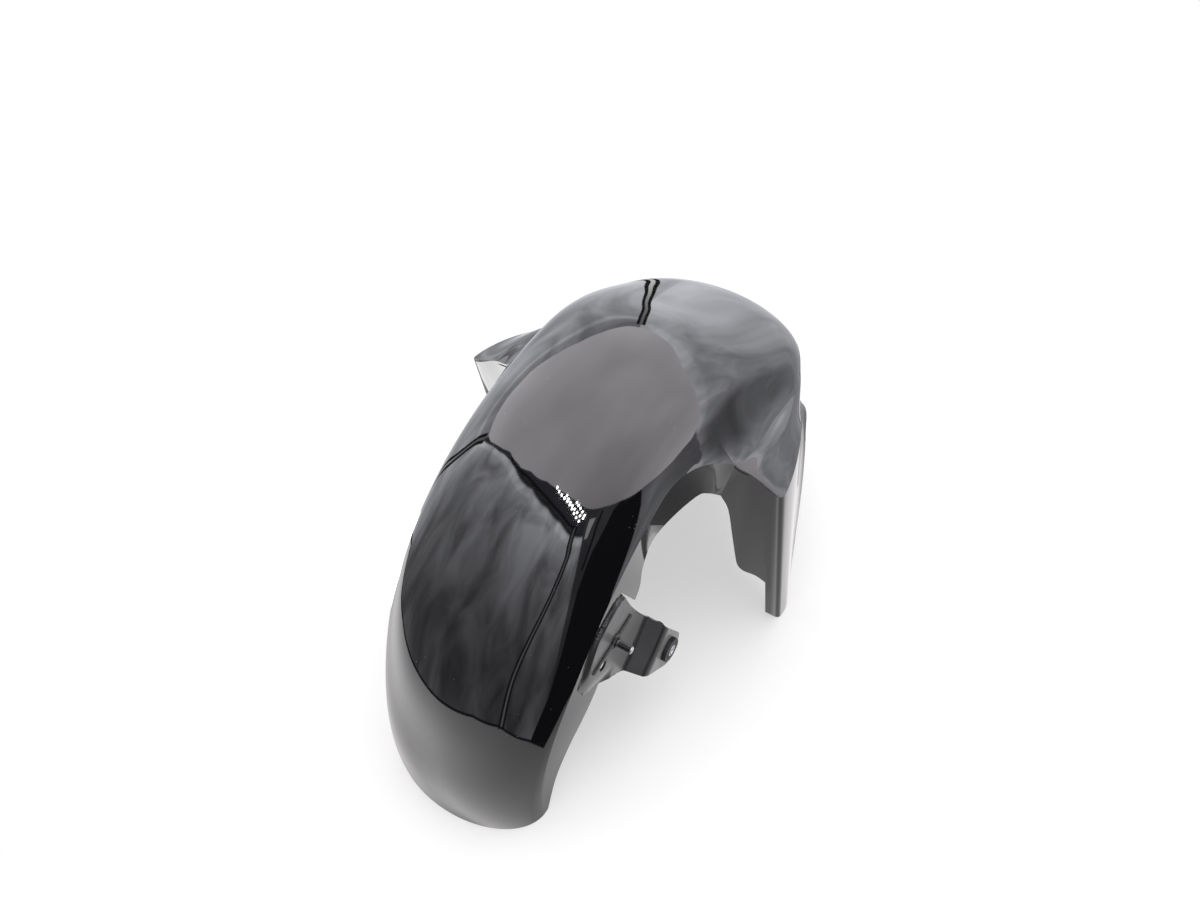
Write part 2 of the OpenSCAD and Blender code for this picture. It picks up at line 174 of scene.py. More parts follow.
def crown_direction(a, f):
    end, f = math.radians(round_angle(a)), math.radians(f)
    return Vector((half_width(a) * math.cos(f) / math.sin(end), -CROWN_HEIGHT * math.sin(f) / (1 - math.cos(end))))


print("half widths in mm:", {a: round(half_width(a), 1) for a in (0, 40, 88, 116, 158)})

# %% [markdown]
# Over the fork legs the crown's side does not stop at a crease. It runs down a valley and out over a shelf to
# the corner of the fork shield. One cubic curve makes that last part of the slice, and its handles slide from
# the plain side at the tail to the full shield, so that the gloss shows no seam between them.

# %% From the crown's side to the shield
SHIELD_WIDTH, SHIELD_TOP, SHELF_RISE = 260, 164, 4
NECK, VALLEY_OUT, VALLEY_UP = 34, 18, 8


def cubic(p, t):
    s = 1 - t
    return s ** 3 * p[0] + 3 * s * s * t * p[1] + 3 * s * t * t * p[2] + t ** 3 * p[3]


def side_share(a):
    """How much of the half slice stays on the ellipse before the side takes over."""
    return between(0.72, 0.96, ease((a - 55) / 28) * (1 - ease((a - 110) / 30)))


def plain_side(a):
    """The four handles of a side that simply follows the ellipse to the crease."""
    end = round_angle(a)
    start = end * side_share(a)
    reach = 4 / 3 * math.tan(math.radians(end - start) / 4)
    p, c = crown_point(a, start), crown_point(a, end)
    return [p, p + reach * crown_direction(a, start), c - reach * crown_direction(a, end), c]


def shield_side(a):
    """The four handles of a side that runs through the valley out to the shield's corner."""
    start = round_angle(a) * side_share(a)
    p = crown_point(a, start)
    ahead = max(0, (a - 90) / (NOSE_ANGLE - 90))
    corner = Vector(((SHIELD_WIDTH - (SHIELD_WIDTH - NOSE_WIDTH) * ahead ** 1.35) / 2,
                     SHIELD_TOP + (CREASE_RADIUS - SHIELD_TOP) * ahead ** 3))
    return [p, p + NECK * crown_direction(a, start).normalized(),
            Vector((half_width(a) + VALLEY_OUT, SHIELD_TOP + VALLEY_UP)), corner]


def front_side(a):
    """Ahead of the panel the shield's curve fades back to a plain side by the nose."""
    f = 1 - ease((a - 98) / (NOSE_ANGLE - 108))
    plain, shield = plain_side(a), shield_side(a)
    return [plain[0], between(plain[1], shield[1], f), between(plain[2], shield[2], f), shield[3]]


def rear_side(a):
    """Behind the shield only the first half of its curve is drawn, down to the crease."""
    f = max(0, (a - TURN_ANGLE) / (PANEL_ANGLE - TURN_ANGLE)) ** 2
    s = shield_side(PANEL_ANGLE)
    first_half = [s[0], (s[0] + s[1]) / 2, (s[0] + 2 * s[1] + s[2]) / 4, (s[0] + 3 * s[1] + 3 * s[2] + s[3]) / 8]
    return [between(p, q, f) for p, q in zip(plain_side(a), first_half)]


print("share of the half slice on the ellipse:", {a: round(side_share(a), 2) for a in (0, 88, 158)})

# %% [markdown]
# One function now gives any point of a slice, whether it lies on the ellipse, on the side or on the shelf, and
# a second one stands the slice up round the axle. The grid below only has to ask for its points by number.

# %% Any point of a slice, and its place round the axle
def slice_point(a, j, front):
    """j runs from 0 in the middle to 8 on the crown's side, 12 at the crease and 20 at the shield's corner."""
    if j <= 8:
        return crown_point(a, round_angle(a) * side_share(a) * j / 8)
    if not front:
        return cubic(rear_side(a), (j - 8) / 4)
    if j <= 12:
        return cubic(front_side(a), (j - 8) / 8)
    t = (j - 12) / 8
    lift = SHELF_RISE * math.sin(math.pi * t) ** 2 * (1 - ease((a - 110) / 40))
    return cubic(front_side(a), 0.5 + 0.5 * t) + Vector((0, lift))


def stand_up(a, q):
    """Turns a slice's point to its place round the axle; the tail's whole edge lies on the ground."""
    f = max(0, (20 - a) / (20 + TAIL_ANGLE))
    b = math.radians(a - f * (math.degrees(math.asin(AXLE_HEIGHT / q[1])) - TAIL_ANGLE))
    return Vector((-q[1] * math.cos(b), -q[0], q[1] * math.sin(b)))


print("shield corner in mm:", [round(v, 1) for v in stand_up(PANEL_ANGLE, slice_point(PANEL_ANGLE, 20, True))])

# %% [markdown]
# The skirts are the flat parts that hang from the crown: a narrow flange beside the wheel, the fork shield's
# rear panel with its foot, and the shield's side face. Each one is ruled between the edge above it and this
# lower edge, which is drawn as a chain of points and smoothed by a curve through them.

# %% Places on the flange and on the panel
PANEL_X, PANEL_LEAN = -3, math.tan(math.radians(12.5))
CORNER_RADIUS, FOOT_WIDTH = 4, 14
FOOT_Y = SHIELD_WIDTH / 2 + 3.98


def on_flange(a, depth, y):
    """A point that lies depth inside the crease, at angle a round the axle and y out from the middle."""
    a = math.radians(a)
    return (-(CREASE_RADIUS - depth) * math.cos(a), -y, (CREASE_RADIUS - depth) * math.sin(a))


def on_panel(y, z):
    return (PANEL_X + (SHIELD_TOP - z) * PANEL_LEAN, -y, z)


print("the foot's outer face is", round(FOOT_Y, 2), "mm from the middle")

# %% [markdown]
# The edge comes in three chains. The first follows the flange from the tail and dips round the bracket's pad,
# the second is the inner edge of the shield's rear panel down to its foot, and the third the side face's.

# %% The three chains of the lower edge
half_body = BODY_WIDTH / 2
flange_edge = [
    (-math.sqrt((CREASE_RADIUS - 4) ** 2 - AXLE_HEIGHT ** 2), -TAIL_WIDTH / 2, -AXLE_HEIGHT),
    on_flange(0, 17, TAIL_WIDTH / 2 + 1), on_flange(8, 29, TAIL_WIDTH / 2 + 3), on_flange(18, 38, half_body - 3),
    on_flange(27, 39, half_body), on_flange(40, 39, half_body + 1), on_flange(52, 44, half_body + 1),
    on_flange(58, 32, half_body), on_flange(64, 27, half_body - 1), on_flange(72, 38, half_body),
    on_flange(82, 53, half_body + 2), on_flange(87, 64, half_body + 4), on_panel(half_body + 8, SHIELD_TOP - 36)]
flange_keys = [-TAIL_ANGLE, 0, 8, 18, 27, 40, 52, 58, 64, 71, 78, 83.5, PANEL_ANGLE]
panel_edge = [
    flange_edge[-1], on_panel(half_body + 14, SHIELD_TOP - 51), on_panel(half_body + 17, 76),
    on_panel(half_body + 19.5, 44), on_panel(half_body + 21.5, 30), on_panel(half_body + 27, 25),
    on_panel(FOOT_Y - 23, 27), on_panel(FOOT_Y - FOOT_WIDTH, 23)]
foot_x = on_panel(FOOT_Y, -AXLE_HEIGHT)[0]
side_edge = [
    (foot_x, 1 - FOOT_Y, -AXLE_HEIGHT), (foot_x + CORNER_RADIUS, -FOOT_Y, -AXLE_HEIGHT),
    (54, -FOOT_Y, -AXLE_HEIGHT + 4), (60, 4 - FOOT_Y, 0), (70, -124, 44), (95, -113, 78), (125, -99, 96),
    (155, -84, 96),
    (-(CREASE_RADIUS - 14) * math.cos(math.radians(NOSE_ANGLE)), -NOSE_WIDTH / 2,
     (CREASE_RADIUS - 14) * math.sin(math.radians(NOSE_ANGLE)))]


def flange_edge_at(a):
    k = max(i for i in range(len(flange_keys) - 1) if a >= flange_keys[i] - 0.001)
    return through(flange_edge, k + (a - flange_keys[k]) / (flange_keys[k + 1] - flange_keys[k]))


def panel_edge_at(u):
    """The panel's lower edge up to 7, and the flat end of the foot from there to 8."""
    if u <= 7:
        return through(panel_edge, u)
    inner = Vector(on_panel(FOOT_Y - FOOT_WIDTH + 1, -AXLE_HEIGHT))
    outer = Vector(on_panel(FOOT_Y - CORNER_RADIUS, -AXLE_HEIGHT))
    return between(inner, outer, min(1, max(0, (u - 7.3) / 0.7)))


print("the foot stands at", [round(v, 1) for v in side_edge[1]], "mm")

# %% [markdown]
# Now the sheet itself. Slices close together follow the bend over the fork opening, and ten very close ones
# turn the shield's upright corner round its small radius, because a rounded corner is what shows a bright
# line in the gloss. The two halves share the middle row, so the sheet has no seam.

# %% Lay out the slices
REAR_SLICES, BEND_SLICES, CORNER_SLICES, SIDE_SLICES = 84, 26, 10, 64
CORNER_REACH = 168
slices = [(between(-TAIL_ANGLE, TURN_ANGLE, i / REAR_SLICES), False, 0) for i in range(REAR_SLICES)]
slices += [(between(TURN_ANGLE, PANEL_ANGLE, i / BEND_SLICES), False, 0) for i in range(BEND_SLICES)]
for step in range(CORNER_SLICES):
    turn = math.radians(10 * step)
    slices.append((PANEL_ANGLE + math.degrees(CORNER_RADIUS * (1 - math.cos(turn)) / CORNER_REACH), True, turn))
side_start = PANEL_ANGLE + math.degrees(CORNER_RADIUS / CORNER_REACH)
slices += [(between(side_start, NOSE_ANGLE, (i / SIDE_SLICES) ** 1.1), True, math.pi / 2)
           for i in range(1, SIDE_SLICES + 1)]
panel_slice = REAR_SLICES + BEND_SLICES
crown_steps = [8 * i / 22 for i in range(22)] + [8 + 4 * i / 12 for i in range(13)]
shelf_steps = [12 + 8 * i / 24 for i in range(1, 25)]
skirt_rows = 14
print(len(slices), "slices,", 2 * len(crown_steps) - 1, "points over the crown in each")

# %% [markdown]
# Each slice becomes a row of points from one crease to the other, and from the shield on out to its corners.
# Neighbouring rows are joined by four-sided faces, because these bend evenly and shade smoothly under gloss.

# %% The crown and the shelves
points, faces, rows = [], [], []


def add_point(p):
    points.append(p)
    return len(points) - 1


for a, front, turn in slices:
    steps = crown_steps + (shelf_steps if front else [])
    row = {}
    for n, j in enumerate(steps):
        q = slice_point(a, j, front)
        cut = CORNER_RADIUS * (1 - math.sin(turn)) * ((j - 12) / 8) ** 3 if front and j > 12 else 0
        p = stand_up(a, (q[0] - cut, q[1]))
        row[n] = add_point(p)
        if n:
            row[-n] = add_point(Vector((p[0], -p[1], p[2])))
    rows.append(row)
for lower, upper in zip(rows, rows[1:]):
    wide = max(n for n in lower if n in upper)
    for n in range(-wide, wide):
        faces.append((lower[n], lower[n + 1], upper[n + 1], upper[n]))
print(len(rows), "rows with", len(faces), "faces")

# %% [markdown]
# The skirts hang from the points just made. Each column starts at a crease or at the shield's corner and runs
# straight down to the lower edge, which is how the real flange and panel are flat from top to bottom.

# %% The skirts below them
crease = len(crown_steps) - 1
corner = crease + len(shelf_steps)
columns = [(rows[i][crease], rows[i][-crease], flange_edge_at(slices[i][0])) for i in range(panel_slice)]
columns += [(rows[panel_slice][crease + n], rows[panel_slice][-crease - n], panel_edge_at(n / 3))
            for n in range(len(shelf_steps) + 1)]
for i in range(panel_slice + 1, len(slices)):
    a, _, turn = slices[i]
    if i < panel_slice + CORNER_SLICES:
        low = Vector((foot_x + CORNER_RADIUS * (1 - math.cos(turn)), CORNER_RADIUS * (1 - math.sin(turn)) - FOOT_Y,
                      -AXLE_HEIGHT))
    else:
        low = through(side_edge, 1 + 7 * ((a - side_start) / (NOSE_ANGLE - side_start)) ** (1 / 1.1))
    columns.append((rows[i][corner], rows[i][-corner], low))
for side in (1, -1):
    hung = []
    for right, left, low in columns:
        top_id = right if side > 0 else left
        top, low = points[top_id], Vector((low[0], side * low[1], low[2]))
        hung.append([top_id] + [add_point(between(top, low, r / skirt_rows)) for r in range(1, skirt_rows + 1)])
    for back, ahead in zip(hung, hung[1:]):
        for r in range(skirt_rows):
            quad = (back[r], back[r + 1], ahead[r + 1], ahead[r])
            faces.append(quad if side > 0 else quad[::-1])
print(len(points), "points and", len(faces), "faces in the sheet")

# %% [markdown]
# The sheet gets its 3 mm wall from a Solidify modifier that grows inwards, as the tool's core sets the inside
# of a moulding. A Bevel modifier then rounds each crease and the cut edge by about a millimetre: no moulded
# edge is sharp, and the rounding is what catches the light.

# %% Thicken the sheet and round its edges
WALL = 3
shell = make_piece("moulded_shell", points, faces, "shell", ["mudguard_shell"])
upward = shell.data.polygons[len(crown_steps) * 120].normal.z
print("faces look", "out" if upward > 0 else "in")
if upward < 0:
    shell.data.flip_normals()
thick = shell.modifiers.new("wall", "SOLIDIFY")
thick.thickness = WALL / 1000
thick.offset = -1
thick.use_even_offset = True
thick.use_quality_normals = True
round_edges(shell, 0.9, 3, 13)
apply_modifiers(shell)
print("shell:", len(shell.data.polygons), "faces")

# %% [markdown]
# Each bracket arm is drawn in a flat frame of its own: u runs along the arm from the screw, v runs forward
# across it, and w stands out from the mudguard. A small function turns such a point to the mudguard's side, so
# that the same drawing makes both arms and everything that is fixed to them.

# %% The bracket's own frame and a cutter
SCREW_RADIUS, SCREW_ANGLE, ARM_ANGLE = CREASE_RADIUS - 108, math.radians(32), math.radians(46)
STEP_IN = 15.5
TAB_Y = BODY_WIDTH / 2 + 2.5 + STEP_IN


def on_arm(u, v, w, side):
    """side is -1 on the right and 1 on the left."""
    return Vector((-SCREW_RADIUS * math.cos(SCREW_ANGLE) - math.cos(ARM_ANGLE) * u + math.sin(ARM_ANGLE) * v,
                   side * (TAB_Y + w),
                   SCREW_RADIUS * math.sin(SCREW_ANGLE) + math.sin(ARM_ANGLE) * u + math.cos(ARM_ANGLE) * v))


def cut_round_hole(piece, u, v, radius, side, w_from=-34, w_to=6):
    """Cuts a round hole across the arm."""
    ring = [(radius * math.cos(math.tau * k / 48), radius * math.sin(math.tau * k / 48)) for k in range(48)]
    cut_with(piece, [(u + x, v + y) for x, y in ring], side, w_from, w_to)


def cut_with(piece, outline, side, w_from, w_to):
    """Cuts a straight-sided opening of that outline through a piece."""
    n = len(outline)
    corners = [on_arm(u, v, w, side) for w in (w_from, w_to) for u, v in outline]
    sides = [(k, (k + 1) % n, n + (k + 1) % n, n + k) for k in range(n)]
    mesh = bpy.data.meshes.new("cutter")
    mesh.from_pydata([to_frame(p) for p in corners], [], sides + [tuple(range(n))[::-1], tuple(range(n, 2 * n))])
    cutter = bpy.data.objects.new("cutter", mesh)
    bpy.context.scene.collection.objects.link(cutter)
    merge_and_face_out(cutter)
    cut = piece.modifiers.new("cut", "BOOLEAN")
    cut.operation = "DIFFERENCE"
    cut.solver = "EXACT"
    cut.object = cutter
    apply_modifiers(piece)
    bpy.data.objects.remove(cutter)


print("the right screw is at", [round(v, 4) for v in to_frame(on_arm(0, 0, 0, -1))])

# %% [markdown]
# Behind the front edge of each bracket's pad the flange has an open notch, and the stud goes through pad and
# flange together. Behind the spare hole lies a pocket, so that daylight shows through the hole's thin rim. All
# three are cut with boolean solids, because a tool leaves such clean straight walls.

# %% Cut the notches and the holes in the shell
STUD_U, STUD_V = 74.5, 6.5
HOLE_U, HOLE_V = 78, -11


def pocket(radius, length):
    """A long round-ended outline behind the spare hole, towards the screw."""
    turns = [math.pi * k / 16 for k in range(17)]
    far = [(HOLE_U - radius * math.sin(t) - length, HOLE_V + radius * math.cos(t)) for t in turns]
    return [(HOLE_U + radius * math.sin(t), HOLE_V - radius * math.cos(t)) for t in turns] + far


pad_front = [(56, 26.8), (72, 31.8), (85, 36.6), (95, 40.5)]
notch = [(44, 20), (48, 31), (98, 42.5)] + [(u, v - 2) for u, v in reversed(pad_front)]
for side in (-1, 1):
    cut_with(shell, notch, side, -26, -10)
    cut_round_hole(shell, STUD_U, STUD_V, 3.5, side)
    cut_with(shell, pocket(6.5, 15), side, -34, -10)
print("shell after cutting:", len(shell.data.polygons), "faces")

# %% [markdown]
# The arm is one skin too. Its screw end stands 15.5 mm out, a joggle brings it in to the pad, and the pad's rear
# edge sinks into the flange so that it runs out without a step. On the real arm the joggle is a steep wall with
# a soft bend at its top and a small fillet at the pad, and its bend is bowed a little across the arm.

# %% Outline of a bracket arm and the line of its bend
arm_top = [(-20.5, -3), (-20.2, 2), (-18, 7.5), (-13.5, 10.8), (-6, 12.6), (10, 15.8), (26.9, 19.8), (35, 21.6),
           (46, 24.4), (56, 27), (72, 31.9), (85, 36.7), (95, 40.4), (100, 36), (104, 25), (108, 8)]
arm_bottom = [(-20.5, -3), (-20.4, -9), (-18.5, -13.4), (-14.5, -15.4), (-4, -16.6), (12, -18.4), (22, -19.6),
              (31, -20.9), (38, -22), (53, -24), (61, -28), (80, -33), (94, -29), (100, -22), (106, -5), (108, 8)]
ARM_THICKNESS = 4


def bend_line(v, low, middle, high):
    """u of a bend that is bowed across the arm, through three of its points (v, u)."""
    v = min(high[0], max(low[0], v))
    parts = []
    for p, q, r in ((low, middle, high), (middle, low, high), (high, low, middle)):
        parts.append(p[1] * (v - q[0]) * (v - r[0]) / ((p[0] - q[0]) * (p[0] - r[0])))
    return sum(parts)


BEND = (-16, 17), (0, 16), (20, 17.5)
print("the bend starts at u =", [round(bend_line(v, *BEND), 2) for v in (-16, -8, 0, 10, 20)])

# %% [markdown]
# The arm's height over the pad is drawn as a slope first. That way the steep wall and the small fillet can be
# set in degrees, as they look in the photograph, and the total step still comes out right.

# %% The joggle and the height of the arm
crown_end = [through(line, 12 + k / 8) for line in (arm_top, arm_bottom) for k in range(25)]
# The joggle's slope in degrees along its run in mm: a soft bend, a steep wall, a small fillet and the pad.
JOGGLE_RUN = 19
joggle_slope = [(0, 0), (7, 25), (8.2, 65), (13.2, 65), (14.2, 18), (JOGGLE_RUN, 0), (20, 0)]
joggle_drop = [0.0]
for step in range(10 * JOGGLE_RUN):
    (x0, s0), (x1, s1) = next(pair for pair in zip(joggle_slope, joggle_slope[1:]) if step / 10 < pair[1][0])
    joggle_drop.append(joggle_drop[-1] + math.tan(math.radians(between(s0, s1, (step / 10 - x0) / (x1 - x0)))) / 10)
joggle_drop = [d / joggle_drop[-1] for d in joggle_drop]
print("share of the joggle's fall at the foot of its wall:", round(joggle_drop[132], 2))


def arm_height(u, v, to_rear):
    """How far the skin stands out at (u, v), to_rear mm from the pad's rear edge."""
    along = 10 * min(JOGGLE_RUN - 0.001, max(0, u - bend_line(v, *BEND)))
    k = int(along)
    height = -STEP_IN * between(joggle_drop[k], joggle_drop[k + 1], along - k)
    to_end = min((Vector((u, v)) - q).length for q in crown_end) if u > 86 else 9
    return height - 3 * max(1 - ease(to_rear / 14), 1 - ease(to_end / 2.5))


# %% [markdown]
# The skin is a grid between the arm's top line and its bottom line, with a second grid 4 mm under it. The
# second grid is moved along the skin's own direction, so that the wall keeps its thickness on the steep joggle.

# %% The skin of an arm
def arm_skin(side, depth):
    """A grid of points on the arm, depth under its outer face."""
    skin = []
    for s in range(0, 15 * 16 + 1):
        top, low = through(arm_top, s / 16), through(arm_bottom, s / 16)
        line = []
        for t in range(29):
            q = between(low, top, t / 28)
            to_rear = between(20, (q - low).length, ease((q[0] - 46) / 18))
            w = arm_height(q[0], q[1], to_rear)
            slope_u = (arm_height(q[0] + 0.2, q[1], to_rear) - w) / 0.2
            slope_v = (arm_height(q[0], q[1] + 0.2, to_rear) - w) / 0.2
            out = Vector((-slope_u, -slope_v, 1)).normalized()
            line.append(on_arm(*(Vector((q[0], q[1], w)) - depth * out), side))
        skin.append(line)
    return skin


def closed_skin(outer, inner):
    """Points and faces of a solid between two grids of the same size."""
    high, wide = len(outer), len(outer[0])
    all_points = [p for grid in (outer, inner) for line in grid for p in line]
    at = lambda g, i, k: g * high * wide + i * wide + k
    made = []
    for i in range(high - 1):
        for k in range(wide - 1):
            made.append((at(0, i, k), at(0, i + 1, k), at(0, i + 1, k + 1), at(0, i, k + 1)))
            made.append((at(1, i, k), at(1, i, k + 1), at(1, i + 1, k + 1), at(1, i + 1, k)))
    rim = [(i, 0) for i in range(high)] + [(high - 1, k) for k in range(1, wide)]
    rim += [(i, wide - 1) for i in range(high - 2, -1, -1)] + [(0, k) for k in range(wide - 2, 0, -1)]
    for (i, k), (m, n) in zip(rim, rim[1:] + rim[:1]):
        made.append((at(0, i, k), at(1, i, k), at(1, m, n), at(0, m, n)))
    return all_points, made


print("the arm's face stands at", arm_height(0, 0, 20), "mm by its screw and", arm_height(70, 0, 20), "mm on its pad")

# %% [markdown]
# Both arms come from the same drawing, mirrored. The booleans come after the rounding, so the holes for the
# grommet, the stud and the spare clip keep a clean edge. The pocket thins the pad behind the spare hole.

# %% Make both bracket arms
arms = []
for side, name in ((-1, "right"), (1, "left")):
    arm = make_piece("bracket_arm_" + name, *closed_skin(arm_skin(side, 0), arm_skin(side, ARM_THICKNESS)),
                     "shell", ["mudguard_shell"])
    merge_and_face_out(arm)
    round_edges(arm, 0.8, 3, 40)
    apply_modifiers(arm)
    cut_round_hole(arm, 0, 0, 6.5, side)
    cut_round_hole(arm, STUD_U, STUD_V, 3.5, side)
    cut_round_hole(arm, HOLE_U, HOLE_V, 4, side)
    cut_with(arm, pocket(5.5, 9), side, -34, -17.1)
    arm.data.shade_smooth()
    arm.data.set_sharp_from_angle(angle=math.radians(40))
    arms.append(arm)
    print(arm.name, len(arm.data.polygons), "faces")

# %% [markdown]
# Grommet, sleeve and stud are all turned shapes. A lathe helper spins an outline of (radius, height) points
# about an axis that stands out of the arm; extra points at the corners keep the real small roundings.

# %% A lathe on the arm
def turned(outline, u, v, side, steps=64):
    n = len(outline)
    ring_points = [on_arm(u + r * math.cos(math.tau * k / steps), v + r * math.sin(math.tau * k / steps), w, side)
                   for k in range(steps) for r, w in outline]
    ring_faces = [(k * n + i, k * n + (i + 1) % n, ((k + 1) % steps) * n + (i + 1) % n, ((k + 1) % steps) * n + i)
                  for k in range(steps) for i in range(n)]
    return ring_points, ring_faces


def corner_round(outline, radius, cuts=3):
    """Rounds every corner of a closed outline by a small radius."""
    rounded = []
    for k, here in enumerate(outline):
        here = Vector(here)
        before, after = Vector(outline[k - 1]), Vector(outline[(k + 1) % len(outline)])
        r = min(radius, (before - here).length / 2.1, (after - here).length / 2.1)
        a, b = here + (before - here).normalized() * r, here + (after - here).normalized() * r
        for c in range(cuts + 1):
            t = c / cuts
            rounded.append(between(between(a, here, t), between(here, b, t), t))
    return rounded


print("a square of four corners is rounded to", len(corner_round([(0, 0), (9, 0), (9, 9), (0, 9)], 1)), "points")

# %% [markdown]
# The grommet is soft black rubber: a thick collar outside the tab, a neck through it and a thinner collar
# behind. Its rims are rounded, and the end face carries a shallow ring. The steel sleeve inside it takes the
# screw's clamping force and ends flush with the rubber.

# %% Grommets and sleeves
grommet_outline = [(4.27, -6.45), (9.3, -6.45), (9.3, -4.05), (6.5, -4.0), (6.5, 0.0), (9.45, 0.02), (9.45, 3.7),
                   (8.9, 3.95), (7.6, 3.95), (7.3, 3.6), (5.6, 3.6), (5.3, 3.9), (4.27, 3.9)]
sleeve_outline = [(3.25, -6.48), (4.24, -6.48), (4.24, 3.98), (3.25, 3.98)]
grommets, sleeves = [], []
for side, name in ((-1, "right"), (1, "left")):
    rubber = make_piece("rubber_grommet_" + name, *turned(corner_round(grommet_outline, 0.5), 0, 0, side, 96),
                        "grommet", ["grommet_" + name])
    tube = make_piece("steel_sleeve_" + name, *turned(corner_round(sleeve_outline, 0.25), 0, 0, side, 96),
                      "sleeve", ["sleeve_" + name])
    for piece in (rubber, tube):
        merge_and_face_out(piece, 0.000001)
    grommets.append(rubber)
    sleeves.append(tube)
print(len(grommets), "grommets and", len(sleeves), "sleeves")

# %% [markdown]
# The clip plate is a narrow pressed bar with round ends that lies on the pad beside the stud, with a round lug
# at the stud's root. Its top carries a shallow groove between two raised edges, which show in the photograph as
# two dark parallel lines. A thin ring about the stud is the mark that a clip's washer leaves on the pad.

# %% The outline and the layers of a clip plate
PLATE_U, PLATE_V, PLATE_TURN = 80, 5.5, math.radians(-58)
BAR_LENGTH, BAR_WIDTH = 48, 3.2
PAD_W, PLATE_W = -STEP_IN, -14.0


def bar_outline(length, width, steps=16):
    half_run, r = (length - width) / 2, width / 2
    arc = [(half_run + r * math.cos(math.pi * (k / steps - 0.5)), r * math.sin(math.pi * (k / steps - 0.5)))
           for k in range(steps + 1)]
    return arc + [(-x, -y) for x, y in arc]


def on_plate(x, y):
    return (PLATE_U + x * math.cos(PLATE_TURN) - y * math.sin(PLATE_TURN),
            PLATE_V + x * math.sin(PLATE_TURN) + y * math.cos(PLATE_TURN))


def stacked(rings, side):
    """A solid from closed rings of (u, v, w) points, with both ends closed."""
    n = len(rings[0])
    solid_points = [on_arm(*p, side) for ring in rings for p in ring]
    solid_faces = [(i * n + k, i * n + (k + 1) % n, (i + 1) * n + (k + 1) % n, (i + 1) * n + k)
                   for i in range(len(rings) - 1) for k in range(n)]
    last = (len(rings) - 1) * n
    return solid_points, solid_faces + [tuple(range(n))[::-1], tuple(range(last, last + n))]


print("the bar's ends are at", [[round(v, 1) for v in on_plate(x, 0)] for x in (-BAR_LENGTH / 2, BAR_LENGTH / 2)])

# %% [markdown]
# The bar is stacked up from rings of its outline, each set in a little, which rounds its foot and sinks the
# groove. The lug and the ring are turned on the lathe and join the bar's mesh as one pressed part.

# %% Clip plates
plates = []
for side, name in ((-1, "right"), (1, "left")):
    rings = []
    for inset, w in ((0.25, PAD_W), (0, PAD_W + 0.25), (0, PLATE_W - 0.35), (0.3, PLATE_W), (0.7, PLATE_W),
                     (0.95, PLATE_W - 0.5)):
        rings.append([(*on_plate(x, y), w) for x, y in bar_outline(BAR_LENGTH - 2 * inset, BAR_WIDTH - 2 * inset)])
    bar_points, bar_faces = stacked(rings, side)
    lug = [(0.01, PAD_W), (4.6, PAD_W), (4.8, PAD_W + 0.2), (4.8, PLATE_W - 0.5), (4.5, PLATE_W - 0.2),
           (0.01, PLATE_W - 0.2)]
    ring = [(5.4, PAD_W - 0.1), (6.1, PAD_W - 0.1), (6.0, PAD_W + 0.3), (5.5, PAD_W + 0.3)]
    for outline, u, v in ((lug, STUD_U + 3.5, STUD_V + 2), (ring, STUD_U, STUD_V)):
        first = len(bar_points)
        more_points, more_faces = turned(outline, u, v, side, 48)
        bar_points += more_points
        bar_faces += [tuple(first + i for i in face) for face in more_faces]
    plate = make_piece("clip_bar_" + name, bar_points, bar_faces, "clip_plate", ["clip_plate_" + name])
    merge_and_face_out(plate, 0.000001)
    plates.append(plate)
print("clip plate faces:", len(plates[0].data.polygons))

# %% [markdown]
# The stud is an M6 screw thread, and at this size its ridges are plainly visible, so they are real geometry:
# the radius of each point follows a wave that climbs one millimetre a turn. The tip is chamfered, and behind
# the pad the stud ends in a flat head that holds it in the flange.

# %% Threaded studs
THREAD_FROM, THREAD_TO, PITCH = -13.5, -2.5, 1.0
STUD_STEPS, HEAD_RADIUS = 40, 5.9


def round_the_stud(radius_at, w, height):
    """One closed ring about the stud's axis."""
    return [(STUD_U + radius_at(w, k / STUD_STEPS) * math.cos(math.tau * k / STUD_STEPS),
             STUD_V + radius_at(w, k / STUD_STEPS) * math.sin(math.tau * k / STUD_STEPS), height)
            for k in range(STUD_STEPS)]


def stud_radius(w, turn):
    if w < THREAD_FROM + 0.4:
        return 3.0 if w > THREAD_FROM - 0.01 else 3.5
    wave = abs(((w / PITCH - turn) % 1) * 2 - 1)
    depth = 0.62 * ease((w - THREAD_FROM - 0.4) / 0.6)
    chamfer = max(0, w - (THREAD_TO - 0.7)) * 0.9
    return min(3.0 - depth * min(1, wave * 1.25), 3.0 - chamfer)


studs = []
for side, name in ((-1, "right"), (1, "left")):
    rings = [round_the_stud(lambda w, turn: HEAD_RADIUS, w, w) for w in (-23.4, -20.6)]
    levels = [-20.55, THREAD_FROM - 0.02] + [THREAD_FROM + i * 0.125 for i in range(89)]
    rings += [round_the_stud(stud_radius, w, min(w, THREAD_TO)) for w in levels]
    stud = make_piece("threaded_stud_" + name, *stacked(rings, side), "stud", ["stud_" + name], 50)
    merge_and_face_out(stud, 0.000001)
    studs.append(stud)
print("stud faces:", len(studs[0].data.polygons))

# %% [markdown]
# The finishes share a few effects, and each effect is a node group that is built once and then placed in each
# material with its own values. A few helpers keep the wiring short: one makes a group, one adds a node with its
# settings, and two add the sums and ranges that turn a noise into a mask.

# %% Node group helpers
def new_group(name, inputs, outputs):
    group = bpy.data.node_groups.new(name, "ShaderNodeTree")
    for label, value in inputs:
        socket = group.interface.new_socket(name=label, in_out="INPUT", socket_type="NodeSocketFloat")
        socket.default_value = value
    for label in outputs:
        group.interface.new_socket(name=label, in_out="OUTPUT", socket_type="NodeSocketFloat")
    return group, group.nodes.new("NodeGroupInput"), group.nodes.new("NodeGroupOutput")


